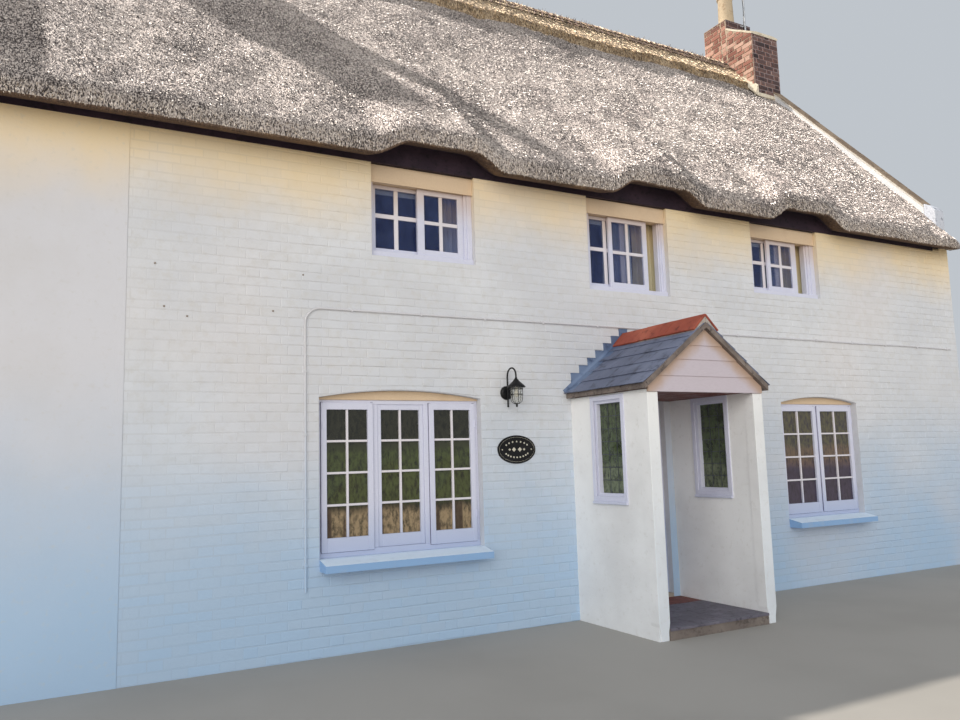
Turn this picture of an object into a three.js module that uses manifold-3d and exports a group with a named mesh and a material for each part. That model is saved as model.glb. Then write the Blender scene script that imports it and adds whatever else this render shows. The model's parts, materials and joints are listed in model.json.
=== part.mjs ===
// A two-storey brick cottage under a thatched roof, with a slated porch round its front door.
// Millimetres, +Z up. The front faces -Y and the long side runs along X.
// House coordinates: x = 0 at the middle of the front, y = 0 on the front wall's face, z = 0 on the ground.
import * as THREE from "three";
import { mergeVertices } from "three/addons/utils/BufferGeometryUtils.js";
import Module from "manifold-3d";

const wasm = await Module();
wasm.setup();

// Driving dimensions of the house
const HOUSE_LENGTH = 11200;
const HOUSE_DEPTH = 6200;
const WALL_THICKNESS = 330;
const WALL_TOP = 4010;
const SEAM = 0.3; // gap between two pieces that touch
const HALF_LENGTH = HOUSE_LENGTH / 2;
const INNER_HALF_LENGTH = HALF_LENGTH - WALL_THICKNESS;
const RIDGE_Y = HOUSE_DEPTH / 2;

// Floors
const GROUND_FLOOR_TOP = 130;
const UPPER_FLOOR_TOP = 2420;
const UPPER_FLOOR_THICKNESS = 200;

// Roof: the thatch rises ROOF_RISE for each millimetre of depth
const ROOF_RISE = 1.116;
const THATCH_AT_WALL = 4430; // height of the thatch's upper face above the wall's face
const THATCH_UNDERSIDE = 4056; // height of its underside at the wall
const EAVES_REACH = 250;
const EAVES_LIP_BOTTOM = 3990;
const LIP_UNDERSIDE_BACK = 30; // how far the lip's lowest line lies behind its front
// The rounded lip: distance behind the eaves' front, and height above the lip's bottom
const LIP_PROFILE = [
  [6, 110],
  [0, 50],
  [6, 12],
];
const RIDGE_BAND_START = 2520; // the ridge band's lower edge, from the front
const RIDGE_BAND_RISE = 112; // how far the band stands above the thatch, measured upwards
const RIDGE_TOP = 8040;
const EAVES_BOARD_FRONT_Y = -12;
const EAVES_BOARD_BACK_Y = 28;
const THATCH_BED = EAVES_BOARD_BACK_Y + 1; // the underside starts to rise behind the eaves board

// The thatch is swept up over each upper window
const EYEBROW_LIFT = 150;
const EYEBROW_HALF_WIDTH = 640;
const EYEBROW_FLAT_HALF_WIDTH = 300;
// How much of an eyebrow's lift reaches the surface at each depth from the wall's face
const EYEBROW_SHARES = [
  [1400, 0],
  [800, 0.22],
  [300, 0.62],
  [-60, 0.88],
  [-190, 0.97],
];
const FRONT_EYEBROWS = [-1940, 480, 2660];
const REAR_EYEBROWS = [-2660, 1940];

// Gables: the outer leaf stands above the thatch as a parapet
const PARAPET_WIDTH = 173;
const PARAPET_INNER_X = HALF_LENGTH - PARAPET_WIDTH;
const COPING_TOP_AT_WALL = 4549;
const COPING_THICKNESS = 55;
const COPING_OVERHANG = 12;
const KNEELER_BOTTOM = 4320;
const KNEELER_TOP = 4700;
const KNEELER_DEPTH = 150;
const KNEELER_CHAMFER = 40;

// Chimneys, one on each gable
const CHIMNEY_WIDTH = 580;
const CHIMNEY_FRONT_Y = 2460;
const CHIMNEY_STACK_Y = 2990;
const CHIMNEY_BACK_Y = 3490;
const CHIMNEY_BASE = 5700;
const CHIMNEY_SHOULDER = 8245;
const CHIMNEY_SHOULDER_TOP = 8560;
const CHIMNEY_TOP = 8730;
const POT_RADIUS = 130;
const POT_BORE_RADIUS = 98;
const POT_HEIGHT = 680;

// Windows: left and right edges, bottom and top of each opening
const UPPER_WINDOWS = {
  upper_window_left: { left: -2515, right: -1530, bottom: 3200 },
  upper_window_middle: { left: -280, right: 740, bottom: 3075 },
  upper_window_right: { left: 1950, right: 3030, bottom: 3210 },
};
const GROUND_WINDOWS = {
  ground_window_left: { left: -2977, right: -1520, bottom: 700, lights: 3 },
  ground_window_right: { left: 2240, right: 3495, bottom: 700, lights: 2 },
};
const REAR_UPPER_WINDOWS = {
  rear_upper_window_left: { left: 1430, right: 2450, bottom: 3200 },
  rear_upper_window_right: { left: -3170, right: -2150, bottom: 3200 },
};
const REAR_GROUND_WINDOWS = {
  rear_ground_window_left: { left: 1250, right: 2630, bottom: 700, lights: 3 },
  rear_ground_window_right: { left: -3350, right: -1970, bottom: 700, lights: 3 },
};
const ARCH_SPRING = 2000;
const ARCH_CROWN = 2063;
const GROUND_WINDOW_SETBACK = 75;
const UPPER_WINDOW_SETBACK = 45;
const WINDOW_FRAME_DEPTH = 85;
const WINDOW_STILE = 80; // frame and sash together
const WINDOW_MULLION = 126;
const WINDOW_HEAD_TO_ARCH = 158;
const WINDOW_BOTTOM_RAIL = 187;
const HEAD_BOARD = 150;
const PANE_THICKNESS = 6;
const PANE_BITE = 5; // how far a pane runs into its frame
const UPPER_WINDOW_BOTTOM_RAIL = 110;
const UPPER_WINDOW_TOP_RAIL = 60;
const CUTTER_REACH = 50; // how far a cutter runs past what it cuts
const SILL_REACH = 160;
const SILL_THICKNESS = 55;
const SILL_SLOPE = 34; // fall from the frame to the front edge

// Front door and its frame
const DOOR_CENTRE_X = 90;
const DOORWAY_WIDTH = 940;
const DOORWAY_TOP = 2010;
const DOOR_FRAME_WIDTH = 60;
const DOOR_FRAME_HEAD = 50;
const DOOR_FRAME_FRONT_Y = 60;
const DOOR_FRAME_DEPTH = 90;
const DOOR_THICKNESS = 44;
const DOOR_GAP = 5;
const DOOR_LOCK_GAP = 7; // the free edge swings through a little more room
const DOOR_STOP = 14;
const DOOR_KNOB_HEIGHT = 960;
const HINGE_RADIUS = 7;
const HINGE_HALF_HEIGHT = 50;
const HINGE_LEAF_WIDTH = 32;
const HINGE_LEAF_THICKNESS = 3;
const HINGE_HEIGHTS = [420, 1690];

// Porch
const PORCH_HALF_INSIDE = 550;
const PORCH_WALL = 100;
const PORCH_FRONT_Y = -1080;
const PORCH_FLOOR_NOSING = 15;
const PORCH_FLOOR_TOP = 92;
const PORCH_WALL_TOP = 2008;
const PORCH_CEILING_THICKNESS = 18;
const PORCH_ROOF_HALF_WIDTH = 700;
const PORCH_ROOF_EAVES = 2055;
const PORCH_ROOF_APEX = 2588;
const PORCH_ROOF_THICKNESS = 36;
const PORCH_ROOF_FRONT_Y = -1135;
const PORCH_BOARD_THICKNESS = 28;
const PORCH_BOARD_BOTTOM = 1985;
const PORCH_WINDOW = { near: -750, far: -340, bottom: 1110, top: 1968 };
const LEAD_THICKNESS = 4;
const BRICK_COURSE = 75;

// Fittings on the front wall
const PLAQUE = { x: -1172, z: 1550, halfWidth: 197, halfHeight: 126, thickness: 14 };
const LANTERN_X = -1258;
const LANTERN_REACH = 180; // from the wall to the lantern's axis
const LANTERN_TOP = 2178;
const LANTERN_ROSE_Z = 2054;
const LANTERN_ROSE_RADIUS = 62;
const LANTERN_ROD_BOTTOM = 1932;
const LANTERN_ROD_REACH = 30;
const LANTERN_NECK_RISE = 90; // from the lantern's top to the top of the swan neck
const CONDUIT = { left: -3090, right: 5450, bottom: 500, z: 2715, bend: 130, radius: 9 };

// Mast on the right-hand chimney
const MAST_RADIUS = 16;
const MAST_FOOT = 8500;
const MAST_LENGTH = 1400;
const MAST_BRACKET_Z = 8660;
const MAST_BRACKET_HALF = 20;
const MAST_OFFSET = 120; // from the stack's middle
const MAST_STANDOFF = 30;

// Colours
const COLOURS = {
  whitewash: 0xd9d3c4,
  thatch: 0x7d746a,
  straw: 0xb9975f,
  brick: 0xb0694f,
  clay: 0xe2cba0,
  paint: 0xb8adb3,
  board: 0xccc2c6,
  darkWood: 0x1f161a,
  slate: 0x5c5f6b,
  terracotta: 0xa8553a,
  lead: 0x73808f,
  stone: 0x9a9690,
  tile: 0x47424c,
  iron: 0x16161a,
  floorWood: 0x8a6a48,
  redBoard: 0x6e3a2c,
  zinc: 0xb9bcc0,
};

const cottage = new THREE.Group();

function add(name, geometry, colour, roughness = 0.9, metalness = 0) {
  const material = new THREE.MeshStandardMaterial({ color: colour, roughness, metalness });
  const mesh = new THREE.Mesh(geometry, material);
  mesh.name = name;
  cottage.add(mesh);
  return mesh;
}

// Shapes
function box(x0, x1, y0, y1, z0, z1) {
  const geometry = new THREE.BoxGeometry(x1 - x0, y1 - y0, z1 - z0);
  return geometry.translate((x0 + x1) / 2, (y0 + y1) / 2, (z0 + z1) / 2);
}

function shapeOf(points) {
  return new THREE.Shape(points.map(([a, b]) => new THREE.Vector2(a, b)));
}

// An outline in y and z, extruded from x0 to x1
function extrudeAlongX(points, x0, x1) {
  const geometry = new THREE.ExtrudeGeometry(shapeOf(points), {
    depth: x1 - x0,
    bevelEnabled: false,
  });
  const axes = new THREE.Matrix4().makeBasis(
    new THREE.Vector3(0, 1, 0),
    new THREE.Vector3(0, 0, 1),
    new THREE.Vector3(1, 0, 0),
  );
  return geometry.applyMatrix4(axes).translate(x0, 0, 0);
}

// An outline in x and z, extruded from y0 to y1
function extrudeAlongY(shape, y0, y1, curveSegments = 12) {
  const geometry = new THREE.ExtrudeGeometry(shape, {
    depth: y1 - y0,
    bevelEnabled: false,
    curveSegments,
  });
  const axes = new THREE.Matrix4().makeBasis(
    new THREE.Vector3(1, 0, 0),
    new THREE.Vector3(0, 0, 1),
    new THREE.Vector3(0, -1, 0),
  );
  return geometry.applyMatrix4(axes).translate(0, y1, 0);
}

// Booleans
function solid(geometry) {
  const bare = geometry.clone();
  bare.deleteAttribute("normal");
  bare.deleteAttribute("uv");
  const merged = mergeVertices(bare, 1e-4);
  return new wasm.Manifold(
    new wasm.Mesh({
      numProp: 3,
      vertProperties: new Float32Array(merged.attributes.position.array),
      triVerts: new Uint32Array(merged.index.array),
    }),
  );
}

function geometryOf(body) {
  const mesh = body.getMesh();
  const geometry = new THREE.BufferGeometry();
  geometry.setAttribute("position", new THREE.BufferAttribute(mesh.vertProperties, 3));
  geometry.setIndex(new THREE.BufferAttribute(mesh.triVerts, 1));
  const flat = geometry.toNonIndexed();
  flat.computeVertexNormals();
  return flat;
}

function cut(geometry, ...tools) {
  return geometryOf(tools.reduce((body, tool) => body.subtract(solid(tool)), solid(geometry)));
}

function join(...pieces) {
  return geometryOf(pieces.map(solid).reduce((body, piece) => body.add(piece)));
}

// Turns a piece made for the front or the right-hand end to the rear or the left
function turned(geometry) {
  return geometry.clone().rotateZ(Math.PI).translate(0, HOUSE_DEPTH, 0);
}

function mirroredX(geometry) {
  const copy = geometry.clone().scale(-1, 1, 1);
  const positions = copy.getAttribute("position");
  const index = copy.index ? [...copy.index.array] : [...Array(positions.count).keys()];
  for (let i = 0; i < index.length; i += 3) {
    [index[i + 1], index[i + 2]] = [index[i + 2], index[i + 1]];
  }
  copy.setIndex(index);
  return copy;
}

// Window and door openings
function archedShape(left, right, bottom, inset = 0) {
  const x0 = left + inset;
  const x1 = right - inset;
  const rise = ARCH_CROWN - ARCH_SPRING;
  const half = (right - left) / 2;
  const radius = (half * half + rise * rise) / (2 * rise) - inset;
  const centreX = (left + right) / 2;
  const centreZ = ARCH_CROWN - inset - radius;
  const sweep = Math.asin((x1 - centreX) / radius);
  const shape = new THREE.Shape();
  shape.moveTo(x0, bottom + inset);
  shape.lineTo(x1, bottom + inset);
  shape.absarc(centreX, centreZ, radius, Math.PI / 2 - sweep, Math.PI / 2 + sweep, false);
  shape.closePath();
  return shape;
}

function upperCutter(left, right, bottom) {
  const back = WALL_THICKNESS + CUTTER_REACH;
  return box(left, right, -CUTTER_REACH, back, bottom, WALL_TOP + CUTTER_REACH);
}

function frontCutters() {
  const cutters = [];
  for (const { left, right, bottom } of Object.values(GROUND_WINDOWS)) {
    const shape = archedShape(left, right, bottom);
    cutters.push(extrudeAlongY(shape, -CUTTER_REACH, WALL_THICKNESS + CUTTER_REACH));
  }
  for (const { left, right, bottom } of Object.values(UPPER_WINDOWS)) {
    cutters.push(upperCutter(left, right, bottom));
  }
  return cutters;
}

// Front and rear walls
function addLongWalls() {
  const inside = INNER_HALF_LENGTH - SEAM;
  const jambLeft = DOOR_CENTRE_X - DOORWAY_WIDTH / 2;
  const jambRight = DOOR_CENTRE_X + DOORWAY_WIDTH / 2;
  const cutters = frontCutters();
  const left = box(-inside, jambLeft, 0, WALL_THICKNESS, 0, WALL_TOP);
  add("front_wall_left", cut(left, cutters[0], cutters[2]), COLOURS.whitewash);
  const right = box(jambRight, inside, 0, WALL_THICKNESS, 0, WALL_TOP);
  add("front_wall_right", cut(right, cutters[1], cutters[3], cutters[4]), COLOURS.whitewash);
  const overDoor = box(
    jambLeft + SEAM,
    jambRight - SEAM,
    0,
    WALL_THICKNESS,
    DOORWAY_TOP,
    WALL_TOP,
  );
  add("front_wall_over_door", cut(overDoor, cutters[3]), COLOURS.whitewash);

  const rearCutters = [];
  for (const { left: x0, right: x1, bottom } of Object.values(REAR_GROUND_WINDOWS)) {
    const shape = archedShape(x0, x1, bottom);
    const front = HOUSE_DEPTH - WALL_THICKNESS - CUTTER_REACH;
    rearCutters.push(extrudeAlongY(shape, front, HOUSE_DEPTH + CUTTER_REACH));
  }
  for (const { left: x0, right: x1, bottom } of Object.values(REAR_UPPER_WINDOWS)) {
    const cutter = upperCutter(x0, x1, bottom);
    rearCutters.push(cutter.translate(0, HOUSE_DEPTH - WALL_THICKNESS, 0));
  }
  const rear = box(-inside, inside, HOUSE_DEPTH - WALL_THICKNESS, HOUSE_DEPTH, 0, WALL_TOP);
  add("rear_wall", cut(rear, ...rearCutters), COLOURS.whitewash);
}

// Gable walls, with the parapet as the outer leaf
function addGableWalls() {
  const undersideAt = (y) => THATCH_UNDERSIDE + ROOF_RISE * (y - THATCH_BED) - 2 * SEAM;
  const parapetAt = (y) => COPING_TOP_AT_WALL - COPING_THICKNESS + ROOF_RISE * y - SEAM;
  const inner = [
    [0, 0],
    [HOUSE_DEPTH, 0],
    [HOUSE_DEPTH, undersideAt(0)],
    [RIDGE_Y, undersideAt(RIDGE_Y)],
    [0, undersideAt(0)],
  ];
  const outer = [
    [0, 0],
    [HOUSE_DEPTH, 0],
    [HOUSE_DEPTH, KNEELER_BOTTOM - SEAM],
    [HOUSE_DEPTH - KNEELER_DEPTH - SEAM, KNEELER_BOTTOM - SEAM],
    [HOUSE_DEPTH - KNEELER_DEPTH - SEAM, parapetAt(KNEELER_DEPTH + SEAM)],
    [RIDGE_Y, parapetAt(RIDGE_Y)],
    [KNEELER_DEPTH + SEAM, parapetAt(KNEELER_DEPTH + SEAM)],
    [KNEELER_DEPTH + SEAM, KNEELER_BOTTOM - SEAM],
    [0, KNEELER_BOTTOM - SEAM],
  ];
  const wall = cut(
    join(
      extrudeAlongX(inner, INNER_HALF_LENGTH, HALF_LENGTH - 1),
      extrudeAlongX(outer, PARAPET_INNER_X, HALF_LENGTH),
    ),
    chimneyNotch(),
  );
  add("right_gable_wall", wall, COLOURS.whitewash);
  add("left_gable_wall", mirroredX(wall), COLOURS.whitewash);
}

function chimneyNotch() {
  return box(
    HALF_LENGTH - CHIMNEY_WIDTH - SEAM,
    HALF_LENGTH + CUTTER_REACH,
    CHIMNEY_FRONT_Y - SEAM,
    CHIMNEY_BACK_Y + SEAM,
    CHIMNEY_BASE - SEAM,
    CHIMNEY_TOP,
  );
}

// Floors: the ground floor runs through the doorway, the upper floor spans between the walls
function addFloors() {
  const inside = INNER_HALF_LENGTH - SEAM;
  const slab = box(
    -inside,
    inside,
    WALL_THICKNESS + SEAM,
    HOUSE_DEPTH - WALL_THICKNESS - SEAM,
    0,
    GROUND_FLOOR_TOP,
  );
  const threshold = box(
    DOOR_CENTRE_X - DOORWAY_WIDTH / 2 + SEAM,
    DOOR_CENTRE_X + DOORWAY_WIDTH / 2 - SEAM,
    0,
    WALL_THICKNESS + CUTTER_REACH,
    0,
    GROUND_FLOOR_TOP,
  );
  add("ground_floor", join(slab, threshold), COLOURS.stone);
  const boards = box(
    -inside,
    inside,
    WALL_THICKNESS + SEAM,
    HOUSE_DEPTH - WALL_THICKNESS - SEAM,
    UPPER_FLOOR_TOP - UPPER_FLOOR_THICKNESS,
    UPPER_FLOOR_TOP,
  );
  add("upper_floor", boards, COLOURS.floorWood);
}

// Thatch: sections in y and z, lofted along x
function eyebrowLift(x, centres) {
  let lift = 0;
  for (const centre of centres) {
    const distance = Math.abs(x - centre);
    const t = THREE.MathUtils.clamp(
      (EYEBROW_HALF_WIDTH - distance) / (EYEBROW_HALF_WIDTH - EYEBROW_FLAT_HALF_WIDTH),
      0,
      1,
    );
    lift = Math.max(lift, EYEBROW_LIFT * t * t * (3 - 2 * t));
  }
  return lift;
}

function thatchSection(lift) {
  const surface = (y) => THATCH_AT_WALL + ROOF_RISE * y;
  const underside = (y) => THATCH_UNDERSIDE + ROOF_RISE * (y - THATCH_BED);
  const frameDepth = 1000; // the underside follows the slope from here up
  return [
    [-EAVES_REACH + LIP_UNDERSIDE_BACK, EAVES_LIP_BOTTOM + lift],
    [EAVES_BOARD_FRONT_Y - 1, THATCH_UNDERSIDE + lift],
    [THATCH_BED, THATCH_UNDERSIDE + lift],
    [frameDepth, underside(frameDepth)],
    [RIDGE_Y - SEAM / 2, underside(RIDGE_Y)],
    [RIDGE_Y - SEAM / 2, surface(RIDGE_Y)],
    ...EYEBROW_SHARES.map(([y, share]) => [y, surface(y) + lift * share]),
    ...LIP_PROFILE.map(([back, z]) => [-EAVES_REACH + back, EAVES_LIP_BOTTOM + z + lift]),
  ];
}

function loftAlongX(stations, sectionAt) {
  const sections = stations.map(sectionAt);
  const count = sections[0].length;
  const positions = [];
  stations.forEach((x, i) => sections[i].forEach(([y, z]) => positions.push(x, y, z)));
  const index = [];
  for (let i = 0; i + 1 < stations.length; i += 1) {
    for (let j = 0; j < count; j += 1) {
      const next = (j + 1) % count;
      const a = i * count + j;
      const b = i * count + next;
      index.push(a, b, b + count, a, b + count, a + count);
    }
  }
  const last = (stations.length - 1) * count;
  for (const [end, flip] of [
    [0, true],
    [last, false],
  ]) {
    const outline = sections[end / count].map(([y, z]) => new THREE.Vector2(y, z));
    for (const [a, b, c] of THREE.ShapeUtils.triangulateShape(outline, [])) {
      index.push(end + a, end + (flip ? c : b), end + (flip ? b : c));
    }
  }
  const geometry = new THREE.BufferGeometry();
  geometry.setAttribute("position", new THREE.Float32BufferAttribute(positions, 3));
  geometry.setIndex(index);
  return geometry;
}

function eavesStations(halfLength, centres) {
  const stations = new Set([-halfLength, halfLength]);
  const steps = 16;
  for (const centre of centres) {
    for (let i = 0; i <= steps; i += 1) {
      stations.add(centre - EYEBROW_HALF_WIDTH + (2 * EYEBROW_HALF_WIDTH * i) / steps);
    }
  }
  return [...stations].sort((a, b) => a - b);
}

function thatchSlope(centres) {
  const reach = HALF_LENGTH - 10;
  const slope = loftAlongX(eavesStations(reach, centres), (x) =>
    thatchSection(eyebrowLift(x, centres)),
  );
  const beside = box(PARAPET_INNER_X - SEAM, HALF_LENGTH, -SEAM, HOUSE_DEPTH, 0, RIDGE_TOP);
  return cut(slope, beside, mirroredX(beside), chimneyNotch(), mirroredX(chimneyNotch()));
}

function addThatch() {
  add("thatch_front", thatchSlope(FRONT_EYEBROWS), COLOURS.thatch, 1);
  const rearCentres = REAR_EYEBROWS.map((x) => -x);
  add("thatch_rear", turned(thatchSlope(rearCentres)), COLOURS.thatch, 1);
  const bedAt = (y, rise = 0) => [y, THATCH_AT_WALL + SEAM + ROOF_RISE * y + rise];
  const lower = RIDGE_BAND_START;
  const nosing = 20; // the band's edge leans out by this much
  const shoulder = 150; // from here the band rounds over the ridge
  const crownHalf = 55;
  const crownFall = 18;
  const back = (y) => HOUSE_DEPTH - y;
  const half = [
    bedAt(lower),
    bedAt(lower - nosing, RIDGE_BAND_RISE - 2.5 * nosing),
    bedAt(lower + nosing, RIDGE_BAND_RISE),
    bedAt(RIDGE_Y - shoulder, RIDGE_BAND_RISE + nosing),
    [RIDGE_Y - crownHalf, RIDGE_TOP - crownFall],
  ];
  const band = [
    bedAt(RIDGE_Y),
    ...half,
    [RIDGE_Y, RIDGE_TOP],
    ...half.map(([y, z]) => [back(y), z]).reverse(),
  ];
  const reach = PARAPET_INNER_X - SEAM;
  const ridge = cut(
    extrudeAlongX(band.reverse(), -reach, reach),
    chimneyNotch(),
    mirroredX(chimneyNotch()),
  );
  add("thatch_ridge", ridge, COLOURS.straw, 1);
}

// Dark boards on the wall tops, which close the gaps under the eyebrows
function eavesBoard(centres) {
  const reach = INNER_HALF_LENGTH - SEAM;
  const low = WALL_TOP + SEAM;
  return loftAlongX(eavesStations(reach, centres), (x) => {
    const top = THATCH_UNDERSIDE - SEAM + eyebrowLift(x, centres);
    return [
      [EAVES_BOARD_FRONT_Y, low],
      [EAVES_BOARD_BACK_Y, low],
      [EAVES_BOARD_BACK_Y, top],
      [EAVES_BOARD_FRONT_Y, top],
    ];
  });
}

function addEavesBoards() {
  add("front_eaves_board", eavesBoard(FRONT_EYEBROWS), COLOURS.darkWood);
  add("rear_eaves_board", turned(eavesBoard(REAR_EYEBROWS.map((x) => -x))), COLOURS.darkWood);
}

// Copings, each with its kneeler stone at the foot, the same on both gables and both slopes
function addParapets() {
  const copingTop = (y) => COPING_TOP_AT_WALL + ROOF_RISE * y;
  const foot = KNEELER_DEPTH - 1;
  const head = CHIMNEY_FRONT_Y - SEAM;
  const outline = [
    [foot, copingTop(foot) - COPING_THICKNESS],
    [head, copingTop(head) - COPING_THICKNESS],
    [head, copingTop(head)],
    [foot, copingTop(foot)],
  ];
  const backHead = HOUSE_DEPTH - CHIMNEY_BACK_Y - SEAM;
  const backOutline = [
    outline[0],
    [backHead, copingTop(backHead) - COPING_THICKNESS],
    [backHead, copingTop(backHead)],
    outline[3],
  ];
  const outer = HALF_LENGTH + COPING_OVERHANG;
  const kneeler = [
    [0, KNEELER_BOTTOM],
    [KNEELER_DEPTH, KNEELER_BOTTOM],
    [KNEELER_DEPTH, copingTop(KNEELER_DEPTH)],
    [KNEELER_CHAMFER, KNEELER_TOP - 1.5 * KNEELER_CHAMFER],
    [0, KNEELER_TOP - 2.75 * KNEELER_CHAMFER],
  ];
  const stones = (points) =>
    join(
      extrudeAlongX(points, PARAPET_INNER_X, outer),
      extrudeAlongX(kneeler, PARAPET_INNER_X, outer),
    );
  const front = stones(outline);
  const rear = turned(mirroredX(stones(backOutline)));
  add("right_front_coping", front, COLOURS.stone);
  add("right_rear_coping", rear, COLOURS.stone);
  add("left_front_coping", mirroredX(front), COLOURS.stone);
  add("left_rear_coping", mirroredX(rear), COLOURS.stone);
}

// Chimneys: a stack with a weathered shoulder in front, and a clay pot
function addChimneys() {
  const outline = [
    [CHIMNEY_FRONT_Y, CHIMNEY_BASE],
    [CHIMNEY_BACK_Y, CHIMNEY_BASE],
    [CHIMNEY_BACK_Y, CHIMNEY_TOP],
    [CHIMNEY_STACK_Y, CHIMNEY_TOP],
    [CHIMNEY_STACK_Y, CHIMNEY_SHOULDER_TOP],
    [CHIMNEY_FRONT_Y, CHIMNEY_SHOULDER],
  ];
  const stack = extrudeAlongX(outline, HALF_LENGTH - CHIMNEY_WIDTH, HALF_LENGTH);
  add("right_chimney_stack", stack, COLOURS.brick);
  add("left_chimney_stack", mirroredX(stack), COLOURS.brick);

  const lip = POT_RADIUS + 14;
  const profile = [
    [POT_BORE_RADIUS, 0],
    [POT_RADIUS + 8, 0],
    [POT_RADIUS, 60],
    [POT_RADIUS - 8, POT_HEIGHT - 110],
    [lip, POT_HEIGHT - 95],
    [lip, POT_HEIGHT - 60],
    [POT_RADIUS - 4, POT_HEIGHT - 50],
    [lip, POT_HEIGHT - 30],
    [lip, POT_HEIGHT],
    [POT_BORE_RADIUS, POT_HEIGHT],
    [POT_BORE_RADIUS, 0],
  ].map(([r, z]) => new THREE.Vector2(r, z));
  const pot = new THREE.LatheGeometry(profile, 20);
  pot.rotateX(Math.PI / 2);
  pot.translate(
    HALF_LENGTH - CHIMNEY_WIDTH / 2,
    (CHIMNEY_STACK_Y + CHIMNEY_BACK_Y) / 2,
    CHIMNEY_TOP + SEAM,
  );
  add("right_chimney_pot", pot, COLOURS.clay);
  add("left_chimney_pot", mirroredX(pot), COLOURS.clay);
}

// A short mast strapped to the right-hand stack; its foot stands on the shoulder
function addMast() {
  const mastX = HALF_LENGTH - CHIMNEY_WIDTH / 2 + MAST_OFFSET;
  const mastY = CHIMNEY_STACK_Y - MAST_RADIUS - MAST_STANDOFF;
  const mast = new THREE.CylinderGeometry(MAST_RADIUS, MAST_RADIUS, MAST_LENGTH, 12);
  mast.rotateX(Math.PI / 2).translate(mastX, mastY, MAST_FOOT + MAST_LENGTH / 2);
  const bracket = box(
    mastX - MAST_BRACKET_HALF,
    mastX + MAST_BRACKET_HALF,
    mastY,
    CHIMNEY_STACK_Y - SEAM,
    MAST_BRACKET_Z - MAST_BRACKET_HALF,
    MAST_BRACKET_Z + MAST_BRACKET_HALF,
  );
  const shoulder = extrudeAlongX(
    [
      [CHIMNEY_FRONT_Y, CHIMNEY_BASE],
      [CHIMNEY_STACK_Y, CHIMNEY_BASE],
      [CHIMNEY_STACK_Y, CHIMNEY_SHOULDER_TOP + SEAM],
      [CHIMNEY_FRONT_Y, CHIMNEY_SHOULDER + SEAM],
    ],
    HALF_LENGTH - CHIMNEY_WIDTH,
    HALF_LENGTH,
  );
  add("aerial_mast", cut(join(mast, bracket), shoulder), COLOURS.zinc, 0.5, 0.6);
}

// A window: frame and sashes as one ring with mullions, closed by a thin pane
function windowLights(left, right, bottom, top, count) {
  const width = (right - left - 2 * WINDOW_STILE - (count - 1) * WINDOW_MULLION) / count;
  const lights = [];
  for (let i = 0; i < count; i += 1) {
    const x0 = left + WINDOW_STILE + i * (width + WINDOW_MULLION);
    lights.push([x0, x0 + width, bottom, top]);
  }
  return lights;
}

function windowFrame(outline, lights, frontY) {
  const backY = frontY + WINDOW_FRAME_DEPTH;
  const holes = lights.map(([x0, x1, z0, z1]) =>
    box(x0, x1, frontY - CUTTER_REACH, backY + CUTTER_REACH, z0, z1),
  );
  const frame = cut(extrudeAlongY(outline, frontY, backY), ...holes);
  const paneY = frontY + WINDOW_FRAME_DEPTH / 2;
  const bite = PANE_BITE;
  const panes = lights.map(([x0, x1, z0, z1]) =>
    box(x0 - bite, x1 + bite, paneY, paneY + PANE_THICKNESS, z0 - bite, z1 + bite),
  );
  return join(frame, ...panes);
}

function rectangle(x0, x1, z0, z1) {
  return shapeOf([
    [x0, z0],
    [x1, z0],
    [x1, z1],
    [x0, z1],
  ]);
}

function groundWindow({ left, right, bottom, lights }) {
  const outline = archedShape(left, right, bottom, SEAM);
  const openings = windowLights(
    left,
    right,
    bottom + WINDOW_BOTTOM_RAIL,
    ARCH_CROWN - WINDOW_HEAD_TO_ARCH,
    lights,
  );
  return windowFrame(outline, openings, GROUND_WINDOW_SETBACK);
}

function upperWindow({ left, right, bottom }) {
  const top = WALL_TOP - SEAM;
  const outline = rectangle(left + SEAM, right - SEAM, bottom + SEAM, top);
  const lightBottom = bottom + UPPER_WINDOW_BOTTOM_RAIL;
  const lightTop = top - HEAD_BOARD - UPPER_WINDOW_TOP_RAIL;
  const openings = windowLights(left, right, lightBottom, lightTop, 2);
  return windowFrame(outline, openings, UPPER_WINDOW_SETBACK);
}

function sill({ left, right, bottom }, clearance = SEAM) {
  const under = bottom - SILL_THICKNESS;
  const inside = box(
    left + SEAM,
    right - SEAM,
    -1,
    GROUND_WINDOW_SETBACK - clearance,
    bottom + SEAM,
    bottom + SILL_SLOPE,
  );
  const outside = extrudeAlongX(
    [
      [-SILL_REACH, under],
      [-SEAM, under],
      [-SEAM, bottom + SILL_SLOPE],
      [-SILL_REACH, bottom],
    ],
    left,
    right,
  );
  return join(outside, inside);
}

// Openings on the rear are laid out as the rear is seen, then turned into place
function asSeenFromBehind({ left, right, ...rest }) {
  return { left: -right, right: -left, ...rest };
}

function addWindows() {
  for (const [name, opening] of Object.entries(UPPER_WINDOWS)) {
    add(name, upperWindow(opening), COLOURS.paint, 0.6);
  }
  for (const [name, opening] of Object.entries(GROUND_WINDOWS)) {
    add(name, groundWindow(opening), COLOURS.paint, 0.6);
    add(name.replace("window", "sill"), sill(opening), COLOURS.board, 0.7);
  }
  for (const [name, opening] of Object.entries(REAR_UPPER_WINDOWS)) {
    add(name, turned(upperWindow(asSeenFromBehind(opening))), COLOURS.paint, 0.6);
  }
  for (const [name, opening] of Object.entries(REAR_GROUND_WINDOWS)) {
    const seen = asSeenFromBehind(opening);
    add(name, turned(join(groundWindow(seen), sill(seen, -SEAM))), COLOURS.paint, 0.6);
  }
}

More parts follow.
